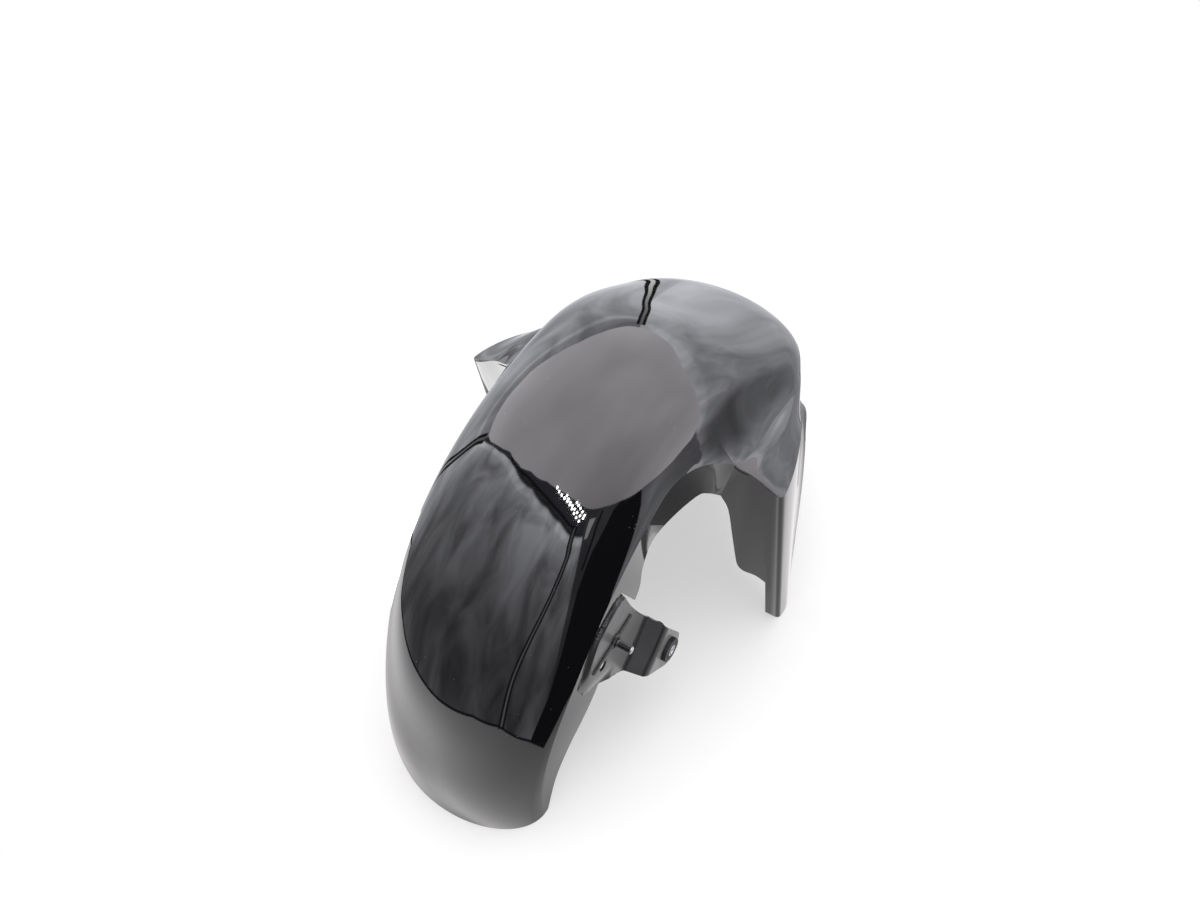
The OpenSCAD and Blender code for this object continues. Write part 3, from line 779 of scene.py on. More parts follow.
def add_node(tree, kind, **values):
    node = tree.nodes.new(kind)
    for key, value in values.items():
        if key in node.bl_rna.properties:
            setattr(node, key, value)
        else:
            node.inputs[key.replace("_", " ")].default_value = value
    return node


def do_math(tree, operation, a, b):
    node = tree.nodes.new("ShaderNodeMath")
    node.operation = operation
    for socket, value in zip(node.inputs, (a, b)):
        if isinstance(value, (int, float)):
            socket.default_value = value
        else:
            tree.links.new(value, socket)
    return node.outputs[0]


def map_range(tree, value, low, high, to_low=0.0, to_high=1.0):
    node = tree.nodes.new("ShaderNodeMapRange")
    tree.links.new(value, node.inputs["Value"])
    for label, number in (("From Min", low), ("From Max", high), ("To Min", to_low), ("To Max", to_high)):
        node.inputs[label].default_value = number
    return node.outputs["Result"]


print("helpers ready; groups so far:", len(bpy.data.node_groups))

# %% [markdown]
# A large moulding is never quite flat: it shrinks unevenly as it cools, and its gloss shows that as a slow
# waviness in every reflection. A broad noise gives the height, which each material feeds to its own Bump node.

# %% Waviness of a moulding
wave_group, wave_in, wave_out = new_group("moulding waves", [("Scale", 20.0)], ["Height"])
place = wave_group.nodes.new("ShaderNodeTexCoord")
broad = add_node(wave_group, "ShaderNodeTexNoise", Detail=1.0, Roughness=0.4)
wave_group.links.new(place.outputs["Object"], broad.inputs["Vector"])
wave_group.links.new(wave_in.outputs["Scale"], broad.inputs["Scale"])
wave_group.links.new(broad.outputs["Fac"], wave_out.inputs["Height"])
print(wave_group.name, "puts out", [socket.name for socket in wave_out.inputs if socket.name])

# %% [markdown]
# Handling leaves hairlines and dust on gloss plastic. A hairline is the thin contour where a stretched noise
# crosses its middle value, kept only in some patches. Dust is the centre of a few small cells, picked by a
# second noise so that most of the surface stays clean.

# %% Hairline scratches and dust
wear_group, wear_in, wear_out = new_group("handling marks", [("Scratches", 1.0), ("Dust", 1.0)], ["Scratch", "Dust"])
place = wear_group.nodes.new("ShaderNodeTexCoord")
lines = []
for turn, scale in ((0.5, 26.0), (1.9, 34.0)):
    turned_place = add_node(wear_group, "ShaderNodeMapping")
    turned_place.inputs["Rotation"].default_value = (turn, 0.3 * turn, turn)
    turned_place.inputs["Scale"].default_value = (1.0, 14.0, 14.0)
    wear_group.links.new(place.outputs["Object"], turned_place.inputs["Vector"])
    streaks = add_node(wear_group, "ShaderNodeTexNoise", Scale=scale, Detail=2.0, Roughness=0.6)
    wear_group.links.new(turned_place.outputs["Vector"], streaks.inputs["Vector"])
    ridge = do_math(wear_group, "ABSOLUTE", do_math(wear_group, "SUBTRACT", streaks.outputs["Fac"], 0.5), 0.0)
    lines.append(map_range(wear_group, ridge, 0.0, 0.004, 1.0, 0.0))
patchy = add_node(wear_group, "ShaderNodeTexNoise", Scale=9.0, Detail=2.0)
wear_group.links.new(place.outputs["Object"], patchy.inputs["Vector"])
some = map_range(wear_group, patchy.outputs["Fac"], 0.5, 0.7)
scratch = do_math(wear_group, "MULTIPLY", do_math(wear_group, "MAXIMUM", *lines), some)
wear_group.links.new(do_math(wear_group, "MULTIPLY", scratch, wear_in.outputs["Scratches"]), wear_out.inputs["Scratch"])
specks = add_node(wear_group, "ShaderNodeTexVoronoi", Scale=260.0)
wear_group.links.new(place.outputs["Object"], specks.inputs["Vector"])
rare = add_node(wear_group, "ShaderNodeTexNoise", Scale=70.0, Detail=3.0)
wear_group.links.new(place.outputs["Object"], rare.inputs["Vector"])
speck = do_math(wear_group, "MULTIPLY", map_range(wear_group, specks.outputs["Distance"], 0.05, 0.12, 1.0, 0.0),
                map_range(wear_group, rare.outputs["Fac"], 0.6, 0.64))
wear_group.links.new(do_math(wear_group, "MULTIPLY", speck, wear_in.outputs["Dust"]), wear_out.inputs["Dust"])
print(wear_group.name, "puts out", [socket.name for socket in wear_out.inputs if socket.name])

# %% [markdown]
# Rubber, paint and turned steel have a fine grain. One group gives its height, and a broader patchy value that
# varies the colour and the roughness, because no real surface is the same all over.

# %% Fine grain
grain_group, grain_in, grain_out = new_group("fine grain", [("Scale", 900.0)], ["Height", "Patch"])
place = grain_group.nodes.new("ShaderNodeTexCoord")
fine = add_node(grain_group, "ShaderNodeTexNoise", Detail=3.0, Roughness=0.6)
grain_group.links.new(place.outputs["Object"], fine.inputs["Vector"])
grain_group.links.new(grain_in.outputs["Scale"], fine.inputs["Scale"])
grain_group.links.new(fine.outputs["Fac"], grain_out.inputs["Height"])
broad = add_node(grain_group, "ShaderNodeTexNoise", Scale=120.0, Detail=2.0)
grain_group.links.new(place.outputs["Object"], broad.inputs["Vector"])
grain_group.links.new(broad.outputs["Fac"], grain_out.inputs["Patch"])
print(grain_group.name, "puts out", [socket.name for socket in grain_out.inputs if socket.name])

# %% [markdown]
# Paint wears off where an edge stands proud. Pointiness is high just there, so a range of it makes the mask.

# %% Bare edges
edge_group, edge_in, edge_out = new_group("bare edges", [("From", 0.53), ("To", 0.6)], ["Mask"])
shape = edge_group.nodes.new("ShaderNodeNewGeometry")
edge = edge_group.nodes.new("ShaderNodeMapRange")
edge_group.links.new(shape.outputs["Pointiness"], edge.inputs["Value"])
edge_group.links.new(edge_in.outputs["From"], edge.inputs["From Min"])
edge_group.links.new(edge_in.outputs["To"], edge.inputs["From Max"])
edge_group.links.new(edge.outputs["Result"], edge_out.inputs["Mask"])
print("groups:", [g.name for g in bpy.data.node_groups])

# %% [markdown]
# Every material starts from the Principled shader, with its plain values set on the shader's own sockets. Only
# what changes over the surface comes through nodes: a mix of two colours, a roughness range and a bump.

# %% Material helpers
def new_material(name, color, roughness, **constants):
    material = bpy.data.materials.new(name)
    material.use_nodes = True
    tree = material.node_tree
    shader = tree.nodes["Principled BSDF"]
    shader.inputs["Base Color"].default_value = (*color, 1)
    shader.inputs["Roughness"].default_value = roughness
    for label, value in constants.items():
        shader.inputs[label.replace("_", " ")].default_value = value
    return material, tree, shader


def place_group(tree, group, **values):
    node = tree.nodes.new("ShaderNodeGroup")
    node.node_tree = group
    for label, value in values.items():
        node.inputs[label].default_value = value
    return node


def mix_colors(tree, mask, a, b):
    node = tree.nodes.new("ShaderNodeMix")
    node.data_type = "RGBA"
    tree.links.new(mask, node.inputs["Factor"])
    node.inputs[6].default_value = (*a, 1)
    node.inputs[7].default_value = (*b, 1)
    return node.outputs[2]


def bump(tree, height, strength, distance):
    node = tree.nodes.new("ShaderNodeBump")
    node.inputs["Strength"].default_value = strength
    node.inputs["Distance"].default_value = distance
    tree.links.new(height, node.inputs["Height"])
    return node.outputs["Normal"]


def dress(pieces, material):
    for piece in pieces:
        piece.data.materials.clear()
        piece.data.materials.append(material)
    print(material.name, "on", [piece.name for piece in pieces])


# %% [markdown]
# The moulding is polished black plastic. Almost nothing of its colour shows: what the eye reads is a sharp
# reflection over near black, so the base is very dark and smooth, under a clear coat that mirrors the room.
# Dust and hairlines scatter a little light where they lie.

# %% Gloss black moulding
gloss, tree, shader = new_material("gloss black moulding", (0.003, 0.003, 0.004), 0.06, IOR=1.5, Coat_Weight=0.6,
                                   Coat_Roughness=0.015, Coat_IOR=1.5)
marks = place_group(tree, wear_group, Scratches=0.6, Dust=0.6)
waves = place_group(tree, wave_group, Scale=16.0)
tree.links.new(mix_colors(tree, marks.outputs["Dust"], (0.003, 0.003, 0.004), (0.2, 0.19, 0.18)),
               shader.inputs["Base Color"])
both = do_math(tree, "ADD", do_math(tree, "MULTIPLY", marks.outputs["Scratch"], 0.12),
               do_math(tree, "MULTIPLY", marks.outputs["Dust"], 0.4))
tree.links.new(do_math(tree, "ADD", both, 0.045), shader.inputs["Roughness"])
tree.links.new(bump(tree, waves.outputs["Height"], 0.35, 0.0004), shader.inputs["Normal"])
dress([shell], gloss)

# %% [markdown]
# The bracket arms were left unpolished in the mould. Their satin skin has a fine even grain, so they show no
# sharp reflections, only a soft grey sheen at a shallow angle and smooth shading round the joggle.

# %% Satin black moulding
satin, tree, shader = new_material("satin black moulding", (0.012, 0.012, 0.013), 0.36, IOR=1.6,
                                    Sheen_Weight=0.7, Sheen_Roughness=0.3)
grain = place_group(tree, grain_group, Scale=1100.0)
tree.links.new(mix_colors(tree, grain.outputs["Patch"], (0.008, 0.008, 0.009), (0.018, 0.018, 0.02)),
               shader.inputs["Base Color"])
tree.links.new(map_range(tree, grain.outputs["Patch"], 0.3, 0.7, 0.3, 0.38), shader.inputs["Roughness"])
tree.links.new(bump(tree, grain.outputs["Height"], 0.15, 0.00005), shader.inputs["Normal"])
dress(arms, satin)

# %% [markdown]
# The grommet's rubber is dull, with a fine even grain. Its outer face is painted a lighter grey than its sides,
# a painted reflection of the floor's glare on that smoother face. The mask for that face is simply the distance
# from the mudguard's middle plane, since the face is flat.

# %% Black rubber
def beyond(tree, start, full):
    """A mask that rises with the distance from the mudguard's middle plane, in metres."""
    spot = tree.nodes.new("ShaderNodeTexCoord")
    apart = tree.nodes.new("ShaderNodeSeparateXYZ")
    tree.links.new(spot.outputs["Object"], apart.inputs[0])
    return map_range(tree, do_math(tree, "ABSOLUTE", apart.outputs["Y"], 0.0), start, full)


rubber, tree, shader = new_material("black rubber", (0.02, 0.02, 0.021), 0.7, IOR=1.45)
grain = place_group(tree, grain_group, Scale=1400.0)
# painted reflection: the flat outer face is coloured lighter grey, standing in for its glare, with a little grain
painted_glare_face = do_math(tree, "MULTIPLY", beyond(tree, (TAB_Y + 3.2) / 1000, (TAB_Y + 3.7) / 1000),
                  map_range(tree, grain.outputs["Patch"], 0.3, 0.7, 0.7, 1.0))
tree.links.new(mix_colors(tree, painted_glare_face, (0.009, 0.009, 0.01), (0.075, 0.075, 0.078)), shader.inputs["Base Color"])
tree.links.new(map_range(tree, grain.outputs["Patch"], 0.3, 0.7, 0.55, 0.78), shader.inputs["Roughness"])
tree.links.new(bump(tree, grain.outputs["Height"], 0.5, 0.0001), shader.inputs["Normal"])
dress(grommets, rubber)

# %% [markdown]
# The sleeve is a cut length of steel tube, bright and a little dull where the turning tool left its marks. It
# is a full metal, so its colour is the colour of its reflections and its roughness carries the marks.

# %% Turned steel
steel, tree, shader = new_material("turned steel", (0.6, 0.6, 0.61), 0.28, Metallic=1.0)
grain = place_group(tree, grain_group, Scale=2200.0)
tree.links.new(mix_colors(tree, grain.outputs["Patch"], (0.6, 0.6, 0.61), (0.85, 0.85, 0.86)),
               shader.inputs["Base Color"])
tree.links.new(map_range(tree, grain.outputs["Height"], 0.3, 0.7, 0.2, 0.42), shader.inputs["Roughness"])
tree.links.new(bump(tree, grain.outputs["Height"], 0.25, 0.00005), shader.inputs["Normal"])
dress(sleeves, steel)

# %% [markdown]
# The clip plate is pressed steel under satin black paint. Along its edges the paint is worn through in places,
# and there the surface turns to bare metal: the same mask drives the colour and the Metallic socket.

# %% Satin black paint
paint, tree, shader = new_material("satin black paint", (0.012, 0.012, 0.013), 0.3, IOR=1.5)
grain = place_group(tree, grain_group, Scale=700.0)
bare = place_group(tree, edge_group, From=0.56, To=0.66)
worn = do_math(tree, "MULTIPLY", bare.outputs["Mask"], map_range(tree, grain.outputs["Patch"], 0.5, 0.62))
tree.links.new(mix_colors(tree, worn, (0.01, 0.01, 0.011), (0.3, 0.3, 0.3)), shader.inputs["Base Color"])
tree.links.new(worn, shader.inputs["Metallic"])
tree.links.new(map_range(tree, grain.outputs["Height"], 0.3, 0.7, 0.22, 0.36), shader.inputs["Roughness"])
tree.links.new(bump(tree, grain.outputs["Height"], 0.2, 0.0001), shader.inputs["Normal"])
dress(plates, paint)

# %% [markdown]
# The stud is blackened steel. Nuts and clips rub the black off the crests of its thread and off its tip, so both
# shine. The crests are found by their distance from the stud's axis, which works the same on every turn.

# %% Blackened thread
dark_steel, tree, shader = new_material("blackened thread", (0.06, 0.06, 0.062), 0.35, Metallic=1.0)
grain = place_group(tree, grain_group, Scale=1500.0)
tip = beyond(tree, (TAB_Y + THREAD_TO - 0.9) / 1000, (TAB_Y + THREAD_TO - 0.3) / 1000)
axis_place = to_frame(on_arm(STUD_U, STUD_V, 0, 1))
spot = tree.nodes.new("ShaderNodeTexCoord")
from_axis = add_node(tree, "ShaderNodeVectorMath", operation="MULTIPLY_ADD")
from_axis.inputs[1].default_value = (1, 0, 1)
from_axis.inputs[2].default_value = (-axis_place[0], 0, -axis_place[2])
tree.links.new(spot.outputs["Object"], from_axis.inputs[0])
off_axis = add_node(tree, "ShaderNodeVectorMath", operation="LENGTH")
tree.links.new(from_axis.outputs[0], off_axis.inputs[0])
crest = do_math(tree, "MULTIPLY", map_range(tree, off_axis.outputs["Value"], 0.0026, 0.00292, 0.0, 0.4),
                beyond(tree, (TAB_Y + THREAD_FROM) / 1000, (TAB_Y + THREAD_FROM + 1) / 1000))
shine = do_math(tree, "MAXIMUM", tip, crest)
tree.links.new(mix_colors(tree, shine, (0.02, 0.02, 0.021), (0.85, 0.85, 0.86)), shader.inputs["Base Color"])
tree.links.new(map_range(tree, grain.outputs["Height"], 0.3, 0.7, 0.25, 0.45), shader.inputs["Roughness"])
tree.links.new(bump(tree, grain.outputs["Height"], 0.2, 0.00005), shader.inputs["Normal"])
dress(studs, dark_steel)

# %% [markdown]
# The part stands on a plain pale floor. It is lit by soft lamps and fades to pure white away from the part, so
# that only the soft shadow shows and no horizon does. Reflections don't see it, because the gloss mirrors the
# tent that is built further down.

# %% Floor
FLOOR_SIZE = 4.0
FADE_FROM, FADE_TO = 0.2, 0.6
floor_mesh = bpy.data.meshes.new("floor")
floor_mesh.from_pydata([(x * FLOOR_SIZE, y * FLOOR_SIZE, -0.0002) for x, y in ((-1, -1), (1, -1), (1, 1), (-1, 1))],
                       [], [(0, 1, 2, 3)])
floor = bpy.data.objects.new("floor", floor_mesh)
bpy.context.scene.collection.objects.link(floor)
pale = bpy.data.materials.new("pale floor")
pale.use_nodes = True
tree = pale.node_tree
tree.nodes.clear()
out = tree.nodes.new("ShaderNodeOutputMaterial")
lit = add_node(tree, "ShaderNodeBsdfDiffuse", Color=(0.93, 0.915, 0.915, 1))
white = add_node(tree, "ShaderNodeEmission", Color=(1, 1, 1, 1), Strength=1.0)
away = tree.nodes.new("ShaderNodeTexCoord")
distance = add_node(tree, "ShaderNodeVectorMath", operation="LENGTH")
moved = add_node(tree, "ShaderNodeVectorMath", operation="SUBTRACT")
moved.inputs[1].default_value = (0.06, -0.12, 0)
tree.links.new(away.outputs["Object"], moved.inputs[0])
tree.links.new(moved.outputs[0], distance.inputs[0])
mix = tree.nodes.new("ShaderNodeMixShader")
tree.links.new(map_range(tree, distance.outputs["Value"], FADE_FROM, FADE_TO, 0.4, 1.0), mix.inputs[0])
tree.links.new(lit.outputs[0], mix.inputs[1])
tree.links.new(white.outputs[0], mix.inputs[2])
tree.links.new(mix.outputs[0], out.inputs[0])
floor.data.materials.append(pale)
floor.visible_glossy = False
print("the floor is", 2 * FLOOR_SIZE, "m wide and pure white from", FADE_TO, "m on")

# %% [markdown]
# The world is white where the camera, a mirror-like surface or glass sees it, and a gentle grey as a light. The
# Light Path node tells these apart, so that the background can be white without overexposing the part.

# %% World
world = bpy.data.worlds.new("white tent")
bpy.context.scene.world = world
world.use_nodes = True
tree = world.node_tree
backdrop = tree.nodes["Background"]
rays = tree.nodes.new("ShaderNodeLightPath")
seen = do_math(tree, "MAXIMUM", rays.outputs["Is Camera Ray"],
               do_math(tree, "MAXIMUM", rays.outputs["Is Glossy Ray"], rays.outputs["Is Transmission Ray"]))
tree.links.new(map_range(tree, seen, 0, 1, 0.8, 1.0), backdrop.inputs["Strength"])
backdrop.inputs["Color"].default_value = (1, 1, 1, 1)
print("world:", world.name)

# %% [markdown]
# Two big soft lamps light what isn't gloss: one overhead for the plain even light of a studio, and a weak one
# on the left that lifts the far side. Their own reflections are switched off, since the tent gives those.

# %% Soft lamps
def soft_lamp(name, place, size, power):
    light = bpy.data.lights.new(name, "AREA")
    light.shape = "SQUARE"
    light.size = size
    light.energy = power
    lamp = bpy.data.objects.new(name, light)
    bpy.context.scene.collection.objects.link(lamp)
    lamp.location = place
    lamp.rotation_mode = "QUATERNION"
    lamp.rotation_quaternion = (Vector((0, 0, 0.1)) - Vector(place)).to_track_quat("-Z", "Y")
    lamp.visible_glossy = False
    return lamp


lamps = [soft_lamp("overhead", (0.1, -0.1, 1.9), 1.6, 24),
         soft_lamp("left side", (-0.9, 1.3, 1.1), 1.0, 3)]
print("lamps in watts:", {lamp.name: lamp.data.energy for lamp in lamps})

# %% [markdown]
# Gloss black shows its room, not itself. The room here is a cloth tent with a square light sheet for a roof.
# It is built as a dome that only mirror reflections can see. Its lines are pairs of degrees, the azimuth from
# straight ahead to the left and the elevation over the part: where the roof ends, where the walls meet the
# cloth floor, and where the rear wall begins under the dark gap behind the roof.

# %% The tent's lines as directions
DOME_CENTRE, DOME_RADIUS = Vector((0, 0, 0.22)), 1.5
roof_edge = [(-180, 66), (-161, 64.5), (-146, 61), (-131, 54.5), (-113, 47), (-100, 39), (-82, 23), (-69, 9),
             (-62, 4), (-58, 14), (-50, 30), (-40, 39), (-30, 43.5), (-18, 45.5), (-5, 44), (10, 39), (20, 34.5),
             (30, 33), (41, 33), (51, 32), (60, 28), (69, 21), (78, 18), (85, 19), (93, 23), (109, 42), (119, 50),
             (134, 59), (159, 65), (180, 66)]
base_line = [(-180, -19), (-163, -22), (-138, -35), (-115, -50), (-95, -42), (-60, -36), (0, -34), (50, -40),
             (66, -48), (82, -36), (93, -27), (108, -26), (120, -23), (131, -22), (145, -21), (160, -20.5), (180, -19)]
rear_edge = [(93, 21), (100, 33), (109, 45), (121, 52), (151, 60), (180, 60), (203, 55), (215, 49), (229, 44)]


def on_line(line, azimuth):
    """The second value of a line of pairs, at that azimuth."""
    for (a, low), (b, high) in zip(line, line[1:]):
        if a <= azimuth <= b:
            return between(low, high, (azimuth - a) / (b - a))


def turn_back(azimuth):
    return azimuth - 360 if azimuth > 180 else azimuth


def toward(azimuth, elevation, radius=DOME_RADIUS):
    """The point of the dome in that direction."""
    a, e = math.radians(azimuth), math.radians(elevation)
    return DOME_CENTRE + radius * Vector((math.cos(e) * math.cos(a), math.cos(e) * math.sin(a), math.sin(e)))


print("the roof ends", on_line(roof_edge, 0), "degrees up ahead and", on_line(roof_edge, 90), "on the left")

# %% [markdown]
# Each sheet of the tent is a grid of points that only reflections see. Its brightness can differ from point to
# point, and that is kept on the mesh as a named attribute which the sheet's material reads.

# %% Make a sheet of the tent
def only_reflected(piece):
    """Puts a piece of the tent in the scene, seen by mirror reflections alone."""
    bpy.context.scene.collection.objects.link(piece)
    piece.visible_camera = piece.visible_diffuse = piece.visible_shadow = False
    piece.visible_volume_scatter = piece.visible_transmission = False
    return piece


def room_piece(name, grid, material, **values):
    """A sheet from rows of points, with rows of values for each named attribute."""
    wide = len(grid[0])
    mesh = bpy.data.meshes.new(name)
    mesh.from_pydata([p for row in grid for p in row], [],
                     [(i * wide + k, i * wide + k + 1, (i + 1) * wide + k + 1, (i + 1) * wide + k)
                      for i in range(len(grid) - 1) for k in range(wide - 1)])
    for label, rows in values.items():
        layer = mesh.attributes.new(label, "FLOAT", "POINT")
        layer.data.foreach_set("value", [value for row in rows for value in row])
    mesh.materials.append(material)
    return only_reflected(bpy.data.objects.new(name, mesh))


def attribute(tree, label):
    """A node's output that reads a named attribute of the mesh."""
    node = tree.nodes.new("ShaderNodeAttribute")
    node.attribute_name = label
    return node.outputs["Fac"]


def glow(name, strength, color=(1, 1, 1)):
    """A material that only shines, because the tent is seen and doesn't need to be lit."""
    material = bpy.data.materials.new(name)
    material.use_nodes = True
    tree = material.node_tree
    tree.nodes.clear()
    out = tree.nodes.new("ShaderNodeOutputMaterial")
    light = add_node(tree, "ShaderNodeEmission", Color=(*color, 1), Strength=strength)
    tree.links.new(light.outputs[0], out.inputs[0])
    return material, tree, light


print("the tent's dome is", DOME_RADIUS, "m in radius")

# %% [markdown]
# The roof is the big soft light, and it makes the wide grey oval on the crown. It is slightly cloudy, as a
# cloth with lamps behind it is, and dimmer in the corner over the open door.

# %% Roof
ROOF_LEVEL = 2.8
DOOR_SIDE = (-0.47, -0.67, 0.57)
roof_glow, tree, light = glow("roof light", ROOF_LEVEL, (1.0, 0.96, 1.0))
place = tree.nodes.new("ShaderNodeTexCoord")
cloud = add_node(tree, "ShaderNodeTexNoise", Scale=1.6, Detail=1.0)
tree.links.new(place.outputs["Object"], cloud.inputs["Vector"])
toward_door = add_node(tree, "ShaderNodeVectorMath", operation="DOT_PRODUCT")
toward_door.inputs[1].default_value = DOOR_SIDE
tree.links.new(place.outputs["Object"], toward_door.inputs[0])
dimmer = map_range(tree, toward_door.outputs["Value"], 1.15, 1.6, 1.0, 0.6)
cloudy = map_range(tree, cloud.outputs["Fac"], 0.3, 0.7, 0.92 * ROOF_LEVEL, 1.12 * ROOF_LEVEL)
tree.links.new(do_math(tree, "MULTIPLY", cloudy, dimmer), light.inputs["Strength"])
turns = list(range(-180, 181, 3))
roof = room_piece("tent_roof", [[toward(a, between(90, on_line(roof_edge, a), ring / 12)) for a in turns]
                                for ring in range(13)], roof_glow)
print(roof.name, "has", len(roof.data.polygons), "faces")

# %% [markdown]
# The walls are lit from above, so they are brightest under the roof's edge and darker lower down, and the
# cloth hangs in soft folds. Each wall has its own brightness, because the tent's light isn't quite even.

# %% The glow of a wall
def wall_glow(name, levels, folds, color=(0.93, 0.94, 1.0)):
    """levels are (degrees under the roof's edge, brightness) pairs."""
    material, tree, light = glow(name, 1.0, color)
    ramp = tree.nodes.new("ShaderNodeFloatCurve")
    curve = ramp.mapping.curves[0]
    for n, (degrees, level) in enumerate(levels):
        if n < 2:
            curve.points[n].location = (degrees / 90, level / 4)
        else:
            curve.points.new(degrees / 90, level / 4)
    for point in curve.points:
        point.handle_type = "AUTO_CLAMPED"
    ramp.mapping.update()
    tree.links.new(do_math(tree, "DIVIDE", attribute(tree, "depth"), 90.0), ramp.inputs["Value"])
    place = tree.nodes.new("ShaderNodeTexCoord")
    stretched = tree.nodes.new("ShaderNodeMapping")
    stretched.inputs["Rotation"].default_value = (0.35, 0.5, 0.2)
    stretched.inputs["Scale"].default_value = (1.0, 1.0, 0.45)
    tree.links.new(place.outputs["Object"], stretched.inputs["Vector"])
    cloth = add_node(tree, "ShaderNodeTexNoise", Scale=2.6, Detail=3.0, Roughness=0.5, Distortion=0.8)
    tree.links.new(stretched.outputs["Vector"], cloth.inputs["Vector"])
    fold = map_range(tree, cloth.outputs["Fac"], 0.32, 0.68, 1 - folds, 1 + folds)
    fold = do_math(tree, "MULTIPLY", fold, attribute(tree, "shade"))
    level = do_math(tree, "MULTIPLY", do_math(tree, "MULTIPLY", ramp.outputs[0], 4.0), fold)
    tree.links.new(level, light.inputs["Strength"])
    return material


def shaded(azimuth, elevation):
    """One corner of the tent lies in shadow, to the right ahead."""
    corner_dark = 0.72 * math.exp(-((azimuth + 54) / 14) ** 2 - ((elevation + 10) / 15) ** 2)
    low_dark = 0.4 * math.exp(-((azimuth + 30) / 12) ** 2 - ((elevation + 26) / 9) ** 2)
    return 1 - corner_dark - low_dark


print("the shaded corner keeps", round(shaded(-54, -10), 2), "of its light")

# %% [markdown]
# A wall is a strip of directions that drops from the roof's edge to the base line. Its attribute depth says how
# far under the roof a point is, and shade darkens the one corner that no lamp reaches.

# %% Walls
def wall(name, first, last, material, top=roof_edge):
    """A wall from its first azimuth to its last, hung from the top line."""
    turns = [between(first, last, k / 40) for k in range(41)]
    drops = [0, 1, 2, 3, 4, 5, 6, 8, 10, 12, 14, 17, 20, 25, 30, 36, 42, 50, 60, 70, 80, 90, 110]
    tops = [on_line(top, t) for t in turns]
    bases = [on_line(base_line, turn_back(t)) for t in turns]
    rows = [[toward(t, max(low, high - d)) for t, high, low in zip(turns, tops, bases)] for d in drops]
    depths = [[min(d, high - low) for high, low in zip(tops, bases)] for d in drops]
    shades = [[shaded(turn_back(t), max(low, high - d)) for t, high, low in zip(turns, tops, bases)] for d in drops]
    return room_piece(name, rows, material, depth=depths, shade=shades)


walls = [
    wall("wall_ahead", -61, 24, wall_glow("ahead wall", [(0, 3.4), (5, 2.9), (8, 2.3), (25, 1.8), (40, 1.25), (55, 0.8),
                                                         (90, 0.5)], 0.25)),
    wall("wall_left", 24, 93, wall_glow("left wall", [(0, 1.3), (6, 1.3), (9, 1.9), (12, 1.35), (22, 1.35),
                                                      (35, 1.0), (50, 0.8), (90, 0.5)], 0.3)),
    wall("wall_behind", 93, 229, wall_glow("rear wall", [(0, 0.05), (1.5, 0.2), (3, 3.4), (6, 2.3), (14, 1.7),
                                                         (32, 1.0), (50, 0.6), (62, 0.4), (90, 0.5)], 0.5), rear_edge),
    wall("wall_door", -131, -86, wall_glow("door wall", [(0, 0.25), (10, 0.3), (90, 0.2)], 0.3)),
    wall("wall_right", -86, -61, wall_glow("right wall", [(0, 0.9), (10, 1.1), (40, 1.0), (90, 0.5)], 0.3))]
print("walls:", [piece.name for piece in walls])

# %% [markdown]
# The tent's cloth floor is under all of it, brightest behind the part where the big light stands. It is drawn as
# the lower part of the dome. One bright sheet lies on the floor under the left shield and lights its panel.

# %% Cloth floor
floor_levels = [(-180, 1.0), (-157, 0.8), (-112, 0.45), (-67, 0.4), (-22, 0.4), (22, 0.45), (67, 0.5), (100, 0.8),
                (135, 0.85), (157, 1.2), (180, 1.0)]


def floor_level(azimuth, elevation):
    """The cloth floor's brightness: three lighter patches, and one dark stretch straight under the part."""
    patches = [(125, -33, 42, 10, 1.2), (-32, -60, 30, 10, 0.6), (10, -52, 32, 12, 0.6)]
    extra = sum(gain * math.exp(-(turn_back((azimuth - a) % 360) / wide) ** 2 - ((elevation - e) / high) ** 2)
                for a, e, wide, high, gain in patches)
    deep = 0.55 * ease((-62 - elevation) / 10) * ease((azimuth - 40) / 30) * (1 - ease((azimuth - 148) / 30))
    return (on_line(floor_levels, azimuth) + extra) * (1 - deep)


FLOOR_RADIUS = 1.49
floor_glow, tree, light = glow("cloth floor", 1.0, (1.0, 0.98, 0.98))
tree.links.new(attribute(tree, "level"), light.inputs["Strength"])
turns = list(range(-180, 181, 4))
grid, levels = [], []
for ring in range(15):
    elevations = [between(on_line(base_line, a), -90, (ring / 14) ** 1.3) for a in turns]
    grid.append([toward(a, e, FLOOR_RADIUS) for a, e in zip(turns, elevations)])
    levels.append([floor_level(a, e) for a, e in zip(turns, elevations)])
room_piece("cloth_floor", grid, floor_glow, level=levels)
sheet_glow, _, _ = glow("bright sheet", 4.0)
room_piece("bright_sheet", [[Vector((x, y, 0.001)) for x in (-0.13, -0.03)] for y in (0.17, 0.27)], sheet_glow)
print("the cloth floor's levels run from", round(min(map(min, levels)), 2), "to", round(max(map(max, levels)), 2))

# %% [markdown]
# The tent's seams cross the gloss as double dark lines with a pale stripe between them. Each one is a narrow
# strip along a line of directions, a little nearer than the walls so that it lies over them.

# %% A strip along a line
SEAM_RADIUS, STRIPE_RADIUS = 1.47, 1.46
dark, _, _ = glow("seam", 0.012)
gap_dark, _, _ = glow("dark gap", 0.2, (0.85, 0.88, 1.0))
pale_seam, _, _ = glow("seam edge", 0.7)
glare, _, _ = glow("glare", 2.2)


